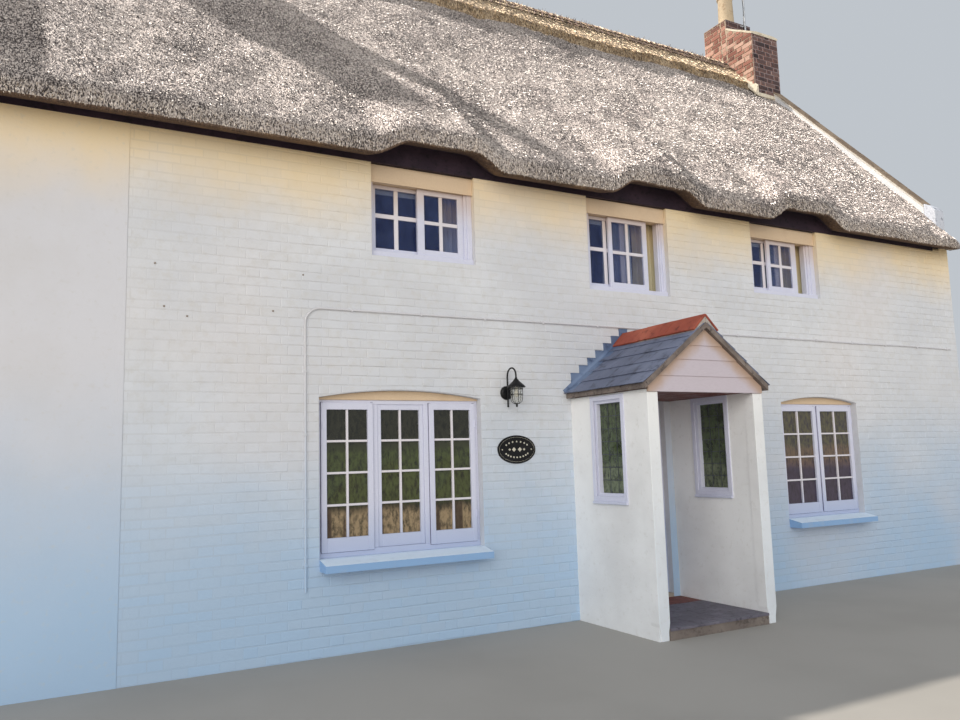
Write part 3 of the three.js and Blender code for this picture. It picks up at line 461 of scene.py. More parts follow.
def thatch_straw(name, stops, patch_tint):
    """Weathered reeds: every straw has its own tone, and broad patches are darker."""
    f = Finish(name, roughness=0.88)
    tone = f.add(f.times(f.island(), 0.75), f.times(f.noise(22, 3, 0.6), 1.1))
    colour = f.ramp(f.math("SUBTRACT", tone, 0.4), stops)
    colour = f.mix(f.band(f.noise(2.2, 5, 0.62), 0.48, 0.66, 0, 0.65), colour, patch_tint, "MULTIPLY")
    f.put("Base Color", colour)
    grain = f.noise(60, 2, 0.5, (4, 1, 0.35), (-SLOPE_TURN, 0, 0))
    return f.bump(grain, 0.0015, 0.5).material


def thatch_bed(name, stops):
    """The reeds between and below the loose straws: fine streaks that run down the slope."""
    f = Finish(name, roughness=0.95)
    tone = f.add(f.noise(26, 4, 0.7, (3.2, 1, 0.9)), f.times(f.cells(70, (1.6, 0.8, 0.8)), 0.45))
    tone = f.add(tone, f.times(f.noise(1.3, 4), 0.35))
    return f.done(f.ramp(tone, stops), tone, 0.012, 0.8)


def reed_ends(name):
    f = Finish(name, roughness=0.95)
    streak = f.noise(30, 4, 0.65, (3.0, 1, 0.8))
    colour = f.ramp(streak, [(0.3, "3a2a22"), (0.52, "5f4a3c"), (0.75, "8a6f55")])
    f.put("Base Color", f.mix(f.band(f.noise(2.4, 3), 0.52, 0.7, 0, 0.5), colour, "86694a"))
    return f.bump(f.cells(90, (1, 1, 0.5)), 0.008, 0.9).material


def painted(name, colour, worn, roughness=0.45, grain=(1, 1, 6), painted_light_by_height=False):
    """Paint on wood. The height switch adds painted cool shade near the ground and painted warm light below
    the eaves.
    """
    f = Finish(name, roughness=roughness)
    wood = f.noise(40, 3, 0.6, grain)
    tint = f.mix(f.band(wood, 0.45, 0.75, 0, 0.45), colour, worn)
    tint = f.mix(f.band(f.noise(3, 3), 0.55, 0.8, 0, 0.5), tint, worn)
    if painted_light_by_height:
        # Painted light: cool shade near the ground, warm light below the eaves.
        height = f.axis("Z")
        tint = f.mix(f.band(height, 1.25, 0.65, 0, 0.8), tint, "a3b2d2")
        tint = f.mix(f.band(height, 3.5, 3.85, 0, 0.6), tint, "cdb197")
    f.put("Base Color", tint)
    f.put("Roughness", f.band(f.noise(9, 3), 0.3, 0.7, roughness - 0.1, roughness + 0.15))
    return f.bump(wood, 0.0006, 0.6).material


def speckled(name, colour, dark, light, scale=24, roughness=0.9, depth=0.002, metallic=0.0):
    """Stone, clay, mortar, lead or rough metal: mottled, with pits."""
    f = Finish(name, roughness=roughness, metallic=metallic)
    tint = f.mix(f.band(f.noise(scale * 0.18, 4), 0.4, 0.7), colour, light)
    tint = f.mix(f.band(f.noise(scale, 4, 0.65), 0.5, 0.72), tint, dark)
    f.put("Base Color", tint)
    pits = f.add(f.noise(scale * 2.5, 4, 0.6), f.noise(scale * 0.5, 2))
    return f.bump(pits, depth, 0.7).material


def sill_paint(name):
    """Pale blue paint, with a painted highlight on top and painted shade on the front."""
    f = Finish(name, roughness=0.6)
    # Painted light: lighter on upward faces, darker and bluer on the front.
    colour = f.mix(f.band(f.facing("Z"), 0.3, 0.7), "8fb4de", "e0f0ff")
    f.put("Base Color", f.mix(f.band(f.noise(9, 4), 0.5, 0.75, 0, 0.25), colour, "b3c2d2"))
    return f.bump(f.noise(40, 3), 0.0012, 0.5).material


def chimney_bricks(name):
    """Pale orange bricks, with painted shade on the faces towards the street."""
    f = Finish(name, roughness=0.93)
    lit = [(0, "5e3a34"), (0.2, "85564a"), (0.45, "a16e5f"), (0.7, "b38574"), (0.92, "c8a391")]
    dark = [(0, "2c2224"), (0.3, "44383a"), (0.6, "584543"), (0.92, "705a56")]
    tone = f.mix(f.band(f.noise(5, 4, 0.7), 0.56, 0.7, 0, 0.6), f.ramp(f.island(), lit), "cdb69e")
    # Painted shade: the faces towards the street take dark bricks.
    tone = f.mix(f.band(f.facing("Y"), -0.5, -0.8), tone, f.ramp(f.island(), dark))
    tone = f.mix(f.band(f.noise(18, 4, 0.7), 0.45, 0.75, 0, 0.45), tone, "8a6152")
    f.put("Base Color", f.mix(f.band(f.axis("Z"), 8.62, 8.66, 0, 0.6), tone, "4a3634"))
    return f.bump(f.noise(70, 4, 0.7), 0.004, 0.8).material


def chimney_mortar(name):
    f = Finish(name, roughness=0.95)
    # Painted shade: darker, greyer mortar on the faces towards the street.
    colour = f.mix(f.band(f.facing("Y"), -0.5, -0.8), "b5a28c", "8d8386")
    f.put("Base Color", f.mix(f.band(f.noise(30, 4, 0.65), 0.5, 0.72, 0, 0.6), colour, "8a7c74"))
    return f.bump(f.noise(70, 4, 0.6), 0.003, 0.7).material


def window_glass(name, deep, tint, opacity, bands=(), posts=None):
    """A dark pane, mottled, with bands that colour it by height: (low, high, colour, share).

    posts is the height below which dark uprights lie over the lowest band.
    """
    f = Finish(name, roughness=0.04, IOR=1.5)
    colour = f.ramp(f.noise(6, 4, 0.7, (1.6, 1, 1)), [(0.3, deep), (0.66, tint)])
    height = f.add(f.axis("Z"), f.times(f.noise(4, 3), 0.12))
    streaks = f.noise(24, 4, 0.7, (1.3, 1, 0.6))
    for low, high, band_colour, share in bands:
        here = f.times(f.band(height, low, low + 0.06), f.band(height, high, high - 0.1))
        here = f.times(here, f.band(streaks, 0.32, 0.62, share * 0.15, share))
        colour = f.mix(here, colour, band_colour)
    if posts:
        post = f.band(f.noise(11, 1, 0.4, (1, 1, 0.04)), 0.53, 0.6, 0, 0.85)
        colour = f.mix(f.times(post, f.band(height, posts, posts - 0.08)), colour, "3a2a22")
    f.put("Base Color", colour)
    f.put("Alpha", opacity)
    return f.bump(f.noise(5, 2, 0.5), 0.004, 0.25).material


M = {}
M["limewash"] = limewash("limewashed brick")
M["joint"] = limewash("limewashed joints", joint=True)
M["render"] = smooth_wash("limewashed render")
# The porch walls take a lighter wash and less painted cool shade: painted light against the shade inside the
# porch.
M["porch wash"] = smooth_wash("porch walls with a wash lightened against their shade", "fbfaf8", 0.3)
M["straw"] = thatch_straw(
    "weathered straw", [(0.25, "1f1a19"), (0.44, "6a5f5a"), (0.55, "c6b9b0"), (0.7, "fff5ec")], "9a9094"
)
M["bed"] = thatch_bed("thatch below the straws", [(0.7, "1b1616"), (0.86, "6a615e"), (1.0, "c8bcb3")])
M["reeds"] = reed_ends("cut reed ends")
M["ridge straw"] = thatch_straw(
    "ridge straw", [(0.25, "3a2f28"), (0.42, "85735f"), (0.56, "b49d7e"), (0.75, "dec9aa")], "a08e78"
)
M["ridge bed"] = thatch_bed("ridge below the straws", [(0.68, "2c231d"), (0.85, "77654f"), (1.0, "c0aa8c")])
M["fringe"] = thatch_straw(
    "ridge fringe", [(0.12, "2a201a"), (0.3, "5a4836"), (0.55, "84694c"), (0.85, "b59a72")], "9a9088"
)
M["cut ends"] = thatch_straw(
    "straws cut over the eaves",
    [(0.14, "4e4138"), (0.32, "9a8978"), (0.52, "d6c5b2"), (0.8, "fff2e2")],
    "c4b6a6",
)
# Mottled materials: name, colour, dark, light; then scale, roughness, depth of the pits and metallic
SPECKLED = {
    "hazel": ("split hazel", "3c2b22", "1d1512", "5b4232", 30, 0.85),
    # Dark eaves boards; the same finish is painted shade on the thatch's underside next to the wall.
    "dark boards and painted eaves shade": ("dark eaves boards, also painted eaves shade", "2a1a28", "150c14", "3a2834", 18, 0.8),
    "coping": ("dark coping", "7d6a58", "54463a", "9c8974", 16, 0.93, 0.003),
    "band": ("limewashed band", "c6c0b6", "aaa294", "dedad2", 16, 0.92, 0.002),
    "kneeler": ("kneeler stone", "cdd0d8", "8a8d98", "ced2dc", 14, 0.92, 0.003),
    "fillet": ("mortar fillet", "d8ccb6", "a39680", "e4dac8", 26, 0.95, 0.004),
    "pot": ("buff clay pot", "bfab8e", "94795c", "cebb9e", 12, 0.75),
    "zinc": ("weathered zinc", "b4b7bb", "7d8085", "d0d2d5", 20, 0.45, 0.0008, 0.8),
    # Painted shadow: a dark rim in the gaps round the opening casements.
    "gap_shadow": ("painted shadow round the casements", "55526c", "403d55", "6a6780", 30, 0.8, 0.0006),
    "plug": ("old wall fixings", "8d8175", "665b50", "a3988c", 30, 0.8),
    "iron": ("black iron", "0f0f11", "08080a", "1c1b1d", 30, 0.38, 0.0008, 0.4),
    "rim": ("plaque rim", "d2ccba", "aaa492", "e2dccb", 30, 0.5, 0.0006),
    "tile": ("porch floor tiles", "625e6a", "45424c", "76727e", 20, 0.6, 0.001),
    "red tile": ("red floor tiles", "6d3a30", "4f2a25", "85493a", 20, 0.65, 0.001),
    "step": ("step stone", "766c66", "544c48", "8c827a", 14, 0.92, 0.003),
    "floor stone": ("stone floor", "9c948a", "7b746b", "b1aaa0", 8, 0.8),
    "slate": ("slate", "646b82", "4a5062", "7c849c", 9, 0.62, 0.0012),
    "verge": ("weathered verge", "6d625c", "4a423e", "8d8078", 26, 0.92, 0.003),
    "ridge mortar": ("grey ridge mortar", "a39a92", "7c736c", "bdb4ab", 24, 0.94, 0.003),
    "terracotta": ("terracotta", "9c4a38", "6e3026", "b5634c", 12, 0.8, 0.002),
    "came": ("dark window lead", "3c3f45", "2a2c31", "50545b", 20, 0.6, 0.0006, 0.2),
    "lead": ("lead", "5f7191", "495a78", "8091ad", 9, 0.55, 0.0012, 0.2),
}
M.update((key, speckled(*row)) for key, row in SPECKLED.items())
M["brick"] = chimney_bricks("chimney bricks with painted front shade")
M["mortar"] = chimney_mortar("chimney mortar with painted front shade")
M["paint"] = painted("window paint", "dfe0f0", "cbcbde", painted_light_by_height=True)
M["bar paint"] = painted("glazing bar paint", "ece6ea", "dad4da", painted_light_by_height=True)
M["blind"] = painted("blind boards", "b4bac2", "9ea6b0", 0.7, (6, 1, 1))
M["board paint"] = painted("head board paint", "e4c9a8", "cfb18e", 0.55, (6, 1, 1))
M["sill"] = sill_paint("pale blue sill with painted light and shade")
M["floor wood"] = painted("floor boards", "8a6a48", "6d5237", 0.6, (6, 1, 1))
M["red board"] = painted("red-brown soffit boards", "6f3527", "54281f", 0.5, (1, 6, 1))
M["clear glass"] = window_glass("lantern glass", "b8bcb4", "d8d6c8", 0.15)
# The upper panes' navy is a painted reflection of the sky.
M["upper glass"] = window_glass("upper panes with painted sky reflection", "2c3866", "4a5a8c", 0.3)
M["porch glass"] = window_glass(
    "porch panes", "14160f", "232718", 0.9, [(1.1, 2.1, "5d6b48", 0.8), (1.1, 1.5, "8d9478", 0.5)]
)
# On the ground panes the mottle, the bands and the dark uprights are painted reflections of the street.
M["glass with painted green reflections"] = window_glass(
    "ground panes with painted green reflections", "15160f", "2a2a20", 0.97,
    [(1.16, 1.75, "4e5630", 1.0), (1.6, 2.1, "38372a", 0.8), (0.7, 1.2, "a08a6a", 1.0)], 1.2
)
M["glass with painted dusky reflections"] = window_glass(
    "ground panes with painted dusky reflections", "2c2630", "3d3440", 0.97,
    [(1.4, 2.1, "625c42", 1.0), (1.3, 1.62, "7a6250", 0.8), (0.8, 1.42, "4a4054", 0.8)]
)


def fabric(name, pale, tint, shade):
    f = Finish(name, roughness=0.9, Sheen_Weight=0.3)
    weave = f.add(f.noise(300, 2, 0.5, (6, 1, 1)), f.noise(300, 2, 0.5, (1, 1, 6)))
    colour = f.mix(f.band(f.axis("Z"), 3.35, 3.8), pale, tint)
    return f.done(f.mix(f.band(weave, 0.8, 1.3, 0, 0.4), colour, shade), weave, 0.0006, 0.5)


# Curtain cloth: colour low in the window, colour high in it, colour between its threads
M["voile"] = fabric("pale voile", "dce8fb", "e6ecd8", "b8c6d8")
M["khaki cloth"] = fabric("khaki curtain cloth", "cfc6a4", "cbb48a", "a39672")
M["beige cloth"] = fabric("beige curtain cloth", "c9d4ea", "c8ab84", "a8977e")


def gable_board_paint(name):
    """Painted boards with a warm stain that spreads in from the verges."""
    f = Finish(name, roughness=0.5)
    wood = f.noise(24, 3, 0.6, (1, 1, 9))
    tint = f.mix(f.band(wood, 0.45, 0.75, 0, 0.5), "cfc4cb", "bfb2b9")
    side = f.math("ABSOLUTE", f.math("SUBTRACT", f.axis("X"), DOOR_X))
    edge = f.add(f.axis("Z"), f.times(side, 0.761))
    edge = f.add(edge, f.times(f.noise(7, 4), 0.12))
    tint = f.mix(f.band(edge, 2.43, 2.57, 0, 0.75), tint, "b99673")
    return f.done(tint, wood, 0.0006, 0.5)


M["gable board"] = gable_board_paint("porch gable boards")


# Brickwork. Joints: how far bricks stand out, bed joint, end joint, slant of the edges (u, v), back plane
WASHED_JOINTS = (0.0034, 0.003, 0.0, (0.005, 0.006), -0.0006)
OPEN_JOINTS = (0.006, 0.008, 0.008, (0.003, 0.003), -0.003)
HEADER, STRETCHER = 0.108, 0.22
BELOW_WALL, ABOVE_WALL = -1, 9  # ends of openings that cut the wall's lower or upper edge


def split_at(pieces, edge):
    """Cuts bricks (u0, u1, bottom0, bottom1, top0, top1) at u = edge."""
    cut = []
    for u0, u1, b0, b1, t0, t1 in pieces:
        if u0 < edge < u1:
            s = (edge - u0) / (u1 - u0)
            b, t = b0 + (b1 - b0) * s, t0 + (t1 - t0) * s
            cut += [(u0, edge, b0, b, t0, t), (edge, u1, b, b1, t, t1)]
        else:
            cut.append((u0, u1, b0, b1, t0, t1))
    return cut


def carve(pieces, hole):
    """Takes an opening (u0, u1, bottom, top) out of bricks. top may be a curve, top(u)."""
    left, right, low, high = hole
    curve = high if callable(high) else lambda u: high
    kept = []
    for piece in split_at(split_at(pieces, left), right):
        u0, u1, b0, b1, t0, t1 = piece
        if not left < (u0 + u1) / 2 < right:
            kept.append(piece)
            continue
        if b0 < low:
            kept.append((u0, u1, b0, b1, min(t0, low), min(t1, low)))
        if t0 > curve(u0) or t1 > curve(u1):
            kept.append((u0, u1, max(b0, curve(u0)), max(b1, curve(u1)), t0, t1))
    return kept


def brickwork(
    shape, place, left, right, bottom, top, holes=(), ceiling=None, floor=None, seams=(), breaks=(),
    open_joints=False, fade_in=0.0,
):
    """Flemish bond over a wall face: place(u, v, out) gives the point, out from the face.

    Bricks are split at each of the seams, and at each of the breaks where the ceiling cuts them.
    Over the length fade_in from the left they rise slowly out of the limewash.
    """
    period = HEADER + STRETCHER
    rows = []
    for row in range(int(math.floor(bottom / BRICK_COURSE)), int(math.ceil(top / BRICK_COURSE))):
        v0, v1 = max(bottom, row * BRICK_COURSE), min(top, (row + 1) * BRICK_COURSE)
        if v1 - v0 < 0.015:
            continue
        u = math.floor(left / period) * period - (row % 2) * period / 2
        pieces = []
        while u < right:
            for length in (STRETCHER, HEADER):
                u0, u1 = max(u, left), min(u + length, right)
                if u1 - u0 > 0.02:
                    pieces.append((u0, u1, v0, v0, v1, v1))
                u += length
        for hole in holes:
            if hole[2] < v1 and (ARCH_CROWN if callable(hole[3]) else hole[3]) > v0:
                pieces = carve(pieces, hole)
        cuts = [edge for edge in breaks if min(ceiling(edge - 0.001), ceiling(edge + 0.001)) < v1]
        for edge in (*seams, *cuts):
            pieces = split_at(pieces, edge)
        for u0, u1, b0, b1, t0, t1 in pieces:
            if ceiling:
                t0, t1 = min(t0, ceiling(u0 + 0.001)), min(t1, ceiling(u1 - 0.001))
            if floor:
                b0, b1 = max(b0, floor(u0)), max(b1, floor(u1))
            if u1 - u0 > 0.022 and t0 - b0 > 0.012 and t1 - b1 > 0.012:
                rows.append((u0, u1, b0, b1, t0, t1))
    q = np.array(rows)
    n = len(q)
    proud, bed_joint, end_joint, slant, back = OPEN_JOINTS if open_joints else WASHED_JOINTS
    half_u = end_joint / 2 * (1 + rng.random((n, 1)))
    half_v = bed_joint / 2 + 0.0015 * rng.random((n, 1))
    u = np.stack([q[:, 0], q[:, 0], q[:, 1], q[:, 1]], 1)
    v = np.stack([q[:, 2], q[:, 4], q[:, 3], q[:, 5]], 1)
    line = np.round(v / BRICK_COURSE)
    wander = waves(u, line, 3, (0.007, 0.9, 5), (0.003, 4, 13))
    v = v + wander * (np.abs(v - line * BRICK_COURSE) < 1e-6)
    inward_u, inward_v = np.array([1, 1, -1, -1]), np.array([1, -1, 1, -1])
    u, v = u + inward_u * half_u, np.maximum(v + inward_v * half_v, GAP)
    if not open_joints:
        # Many coats of limewash hide the joints in some places, and all of them beside the render.
        middle_u, middle_v = u.mean(1, keepdims=True), v.mean(1, keepdims=True)
        shown = 0.62 + 0.55 * wave(middle_u * 0.8, middle_v * 1.3, 8)
        proud = proud * np.clip(shown, 0.15 if fade_in else 0.5, 1.2)
        if fade_in:
            proud = proud * np.clip((middle_u - left) / fade_in, 0.1, 1)
    out = proud * (0.6 + 0.8 * rng.random((n, 1))) * np.array([1.2, 0.8, 1.2, 0.8])
    out = np.minimum(out + proud * 0.25 * rng.standard_normal((n, 4)), 0.0115)
    rear = place(u, v, np.full((n, 4), back))
    face = place(u + inward_u * slant[0], v + inward_v * slant[1], out)
    shape.bulk(np.concatenate([np.stack(rear, -1), np.stack(face, -1)], 1), BOX)


def arch_curve(left, right):
    middle, half = (left + right) / 2, (right - left) / 2
    return lambda u: ARCH_SPRING + (ARCH_CROWN - ARCH_SPRING) * (1 - ((u - middle) / half) ** 2)


def on_front(u, v, out):
    return u, -out, v


def on_rear(u, v, out):
    return u, DEPTH + out, v


def on_right(u, v, out):
    return HALF_LENGTH + out, u, v


def on_left(u, v, out):
    return -HALF_LENGTH - out, u, v


def add_walls():
    ground = [(a, b, c, arch_curve(a, b)) for a, b, c, _ in GROUND_OPENINGS.values()]
    upper = [(a, b, c, ABOVE_WALL) for a, b, c in UPPER_OPENINGS.values()]
    porch = (DOOR_X - PORCH_INSIDE, DOOR_X + PORCH_INSIDE, BELOW_WALL, PORCH_CEILING)

    def eaves(u):
        return WALL_UNDER_COPING if abs(u) > PARAPET_X else WALL_TOP

    front = Shape()
    holes = [*ground, *upper, porch]
    span = (RENDER_EDGE, HALF_LENGTH, 0, WALL_UNDER_COPING)
    brickwork(front, on_front, *span, holes, eaves, None, (PARAPET_X,), fade_in=1.5)
    front.make("front_brickwork", M["limewash"], slot="whitewash")

    skin = Shape()
    for start, end, top, count in (
        (-HALF_LENGTH, -PARAPET_X, WALL_UNDER_COPING, 6),
        (-PARAPET_X, RENDER_EDGE, WALL_TOP - 0.0003, 24),
    ):
        face = []
        for x in np.linspace(start, end, count):
            out = [(z, -0.0045 - 0.0012 * float(wave(x * 3, z * 2, 5))) for z in np.linspace(0, top, 80)]
            face.append([(x, y, z) for z, y in out] + [(x, 0.002, top), (x, 0.002, 0)])
        skin.rings(face)
    for side in (-1, 1):
        a, b = sorted((DOOR_X + side * DOOR_FRAME_HALF, DOOR_X + side * (PORCH_INSIDE - GAP)))
        skin.box(a, b, -0.004, 0.002, 0.093, 2.0075)
    skin.make("front_render", M["render"], slot="whitewash", smooth=40)

    rear = Shape()
    holes = [(a, b, c, arch_curve(a, b)) for a, b, c, _ in REAR_GROUND_OPENINGS.values()]
    holes += [(a, b, c, ABOVE_WALL) for a, b, c in REAR_UPPER_OPENINGS.values()]
    ends = (-PARAPET_X, PARAPET_X)
    brickwork(rear, on_rear, -HALF_LENGTH, HALF_LENGTH, 0, WALL_UNDER_COPING, holes, eaves, None, (), ends)
    rear.make("rear_brickwork", M["limewash"], slot="whitewash")

    def gable(u):
        if min(u, DEPTH - u) < KNEELER:
            return WALL_UNDER_COPING
        return COPING_TOP - COPING_THICKNESS + ROOF_RISE * min(u, DEPTH - u)

    for name, place in (("right", on_right), ("left", on_left)):
        side = Shape()
        breaks = (KNEELER, RIDGE_Y, DEPTH - KNEELER)
        brickwork(side, place, 0, DEPTH, 0, GABLE_BRICKS_TOP, (), gable, None, (), breaks)
        side.make(name + "_gable_brickwork", M["limewash"], slot="whitewash")


add_walls()


# Thatch
REAR_REACH = 6.449  # how far back straws may reach


def eyebrow_lift(x, centres):
    lift = np.zeros_like(x)
    for centre in centres:
        lift = np.maximum(lift, 0.15 * ease((0.64 - np.abs(x - centre)) / 0.34))
    return lift


def thatch_rows():
    """Points of the thatch's section from the ridge round the lip: y, height without lift, share of lift."""
    y = np.linspace(RIDGE_Y - 0.0003, -0.17, 108)
    share = np.clip((1.4 - y) / 1.59, 0, 1) ** 1.5 * 0.98
    rows = np.stack([y, THATCH_AT_WALL + ROOF_RISE * y, share], 1)
    lip = [(-0.215, 4.18), (-0.236, 4.14), (-0.248, 4.095), (-0.25, 4.055), (-0.25, 4.025)]
    lip += [(-0.246, 4.004), (-0.236, 3.994), (-0.22, 3.99)]
    low = THATCH_UNDERSIDE
    under = [(-0.14, 4.0155), (-0.055, 4.0426), (-0.013, low), (0.029, low)]
    inner = [(1.0, low + ROOF_RISE * 0.971), (RIDGE_Y - 0.0003, low + ROOF_RISE * 3.07)]
    rest = [(a, b, 1.0) for a, b in lip + under] + [(a, b, 0.0) for a, b in inner]
    return np.concatenate([rows, rest]), len(rows), len(rows) + len(lip)


def straws(shape, grid, count, rows, length, width, lift, fan, seed):
    """Flat four-sided slivers scattered over a grid, each pointing down the slope, tip raised."""
    rand = np.random.default_rng(seed)
    m = grid.shape[0]
    i = rand.random(count) * (m - 1.001)
    j = rows[0] + rand.random(count) * (rows[1] - rows[0] - 0.001)
    a, b = i.astype(int), j.astype(int)
    s, t = (i - a)[:, None], (j - b)[:, None]
    corner = grid[a, b], grid[a + 1, b], grid[a, b + 1], grid[a + 1, b + 1]
    spot = (corner[0] * (1 - s) + corner[1] * s) * (1 - t) + (corner[2] * (1 - s) + corner[3] * s) * t
    down, side = unit(corner[2] - corner[0]), unit(corner[1] - corner[0])
    normal = np.cross(side, down)
    inwards = normal[:, 2:] + normal[:, 1:2] * np.sign(spot[:, 1:2] - RIDGE_Y) < 0
    normal = unit(normal * np.where(inwards, -1, 1))
    angle = fan * rand.standard_normal(count)[:, None]
    ahead = down * np.cos(angle) + side * np.sin(angle)
    beside = np.cross(normal, ahead)
    long, wide, high = (
        (low + (high - low) * rand.random(count) ** power)[:, None]
        for (low, high), power in ((length, 1.5), (width, 1), (lift, 2))
    )
    back = spot - ahead * long * 0.5 - normal * 0.004
    tip = spot + ahead * long * 0.5 + normal * high
    left = spot + beside * wide / 2 - normal * 0.003
    right = spot - beside * wide / 2 - normal * 0.003
    solids = np.stack([back, left, tip, right], 1)
    solids[..., 0] = np.clip(solids[..., 0], GAP - OUTER_X, OUTER_X - GAP)
    solids[..., 1] = np.clip(solids[..., 1], -0.29, REAR_REACH)
    edges = [solids[:, i] - solids[:, 0] for i in (1, 2, 3)]
    volume = np.einsum("ni,ni->n", edges[0], np.cross(edges[1], edges[2]))
    flip = volume < 0
    solids[flip] = solids[flip][:, [0, 3, 2, 1]]
    solids = solids[np.abs(volume) > 1e-12]
    shape.bulk(solids, [(0, 1, 2), (0, 2, 3), (0, 3, 1), (1, 3, 2)])


def add_slope(name, centres, rear, counts, seed):
    rows, outer, lip_end = thatch_rows()
    reach = PARAPET_X - 0.0003
    x = np.linspace(-reach, reach, 240)
    lift = eyebrow_lift(x, centres)[:, None]
    y = np.broadcast_to(rows[:, 0], (len(x), len(rows))).copy()
    z = rows[:, 1] + lift * rows[:, 2]
    number = np.arange(len(rows))
    distance = (RIDGE_Y - y) * SLOPE_LENGTH
    fade = np.clip((RIDGE_Y - y) / 0.4, 0, 1) * (number < lip_end - 2)
    sizes = (0.02, 0.8, 0.6), (0.011, 2.7, 2.1), (0.006, 9, 6), (0.004, 31, 23)
    swell = (waves(x[:, None], distance, seed, *sizes) - 0.004) * fade
    out = unit(np.stack([np.zeros(len(rows)), np.gradient(rows[:, 1]), -np.gradient(rows[:, 0])], -1))
    out[:, 1] = -np.abs(out[:, 1])
    grid = np.stack([np.broadcast_to(x[:, None], y.shape), y, z], -1) + swell[..., None] * out
    ragged = waves(x, 0, seed + 4, (0.005, 6, 0), (0.006, 1.4, 0))
    grid[..., 2] += ragged[:, None] * ((number >= outer) & (number < lip_end))
    # The slope droops towards each end.
    droop = 0.045 * ease((np.abs(x[:, None]) - 4.6) / 0.8)
    near_eaves = np.clip((1 - y) / 1.1, 0, 1) ** 2 * np.clip((grid[..., 2] - 3.99) / 0.25, 0, 1)
    grid[..., 2] -= droop * near_eaves * (number < lip_end)
    # In front of each kneeler the thatch is a short nose that tapers to its end.
    nose_rows = (rows[:, 0] < -0.001) & (number < lip_end + 2)
    noses = []
    for end, side in ((0, -1), (-1, 1)):
        section = grid[end][nose_rows]
        section = np.concatenate([section, [[0, -0.001, 4.0555], [0, -0.001, section[0, 2] + 0.02]]])
        nose = []
        for t in (0, 0.25, 0.5, 0.75, 1):
            ring = section.copy()
            ring[:, 0] = side * (reach - 0.02 + t * 0.182)
            moved = np.arange(len(ring)) != len(ring) - 2
            ring[moved, 2] += (4.03 - ring[moved, 2]) * 0.8 * t**1.5
            ring[:-2, 1] += (-0.03 - ring[:-2, 1]) * 0.3 * t**2.5
            nose.append(ring)
        noses.append(np.array(nose))
    body = Shape()
    for part in (grid, *noses):
        if rear:
            part[..., 1] = np.minimum(DEPTH - part[..., 1], REAR_REACH + GAP)
        body.rings(part)
    sides = np.select([number < outer + 5, number <= lip_end, number < lip_end + 3], [0, 1, 2], 1)
    body.marks[0] = np.tile(sides, len(x) - 1)
    # Next to the wall, the thatch's underside takes the dark board finish as painted shade under the eaves.
    beds = [M["bed"], M["reeds"], M["dark boards and painted eaves shade"]]
    body.make(name + "_bed", beds, slot="thatch", replaces=[name], smooth=80)
    long, wide = (0.02, 0.06), (0.006, 0.012)
    for part, count, low, high in (("upper", counts[0], 12, 62), ("lower", counts[1], 62, outer + 3.5)):
        loose = Shape()
        straws(loose, grid, count, (low, high), long, wide, (0.003, 0.013), 0.5, seed + low)
        if part == "lower":
            for nose in noses:
                straws(loose, nose, 260, (0, 7), long, wide, (0.003, 0.01), 0.3, seed + 9)
        loose.make(f"{name}_{part}_straws", M["straw"], slot="thatch")
    cut = Shape()
    lip = (outer + 1, outer + 5)
    straws(cut, grid, counts[2], lip, (0.02, 0.05), (0.005, 0.01), (0.001, 0.009), 0.3, seed + 5)
    cut.make(name + "_cut_ends", M["cut ends"], slot="thatch")


add_slope("thatch_front", FRONT_EYEBROWS, False, (47000, 49000, 8000), 11)
add_slope("thatch_rear", REAR_EYEBROWS, True, (10500, 13000, 3000), 47)


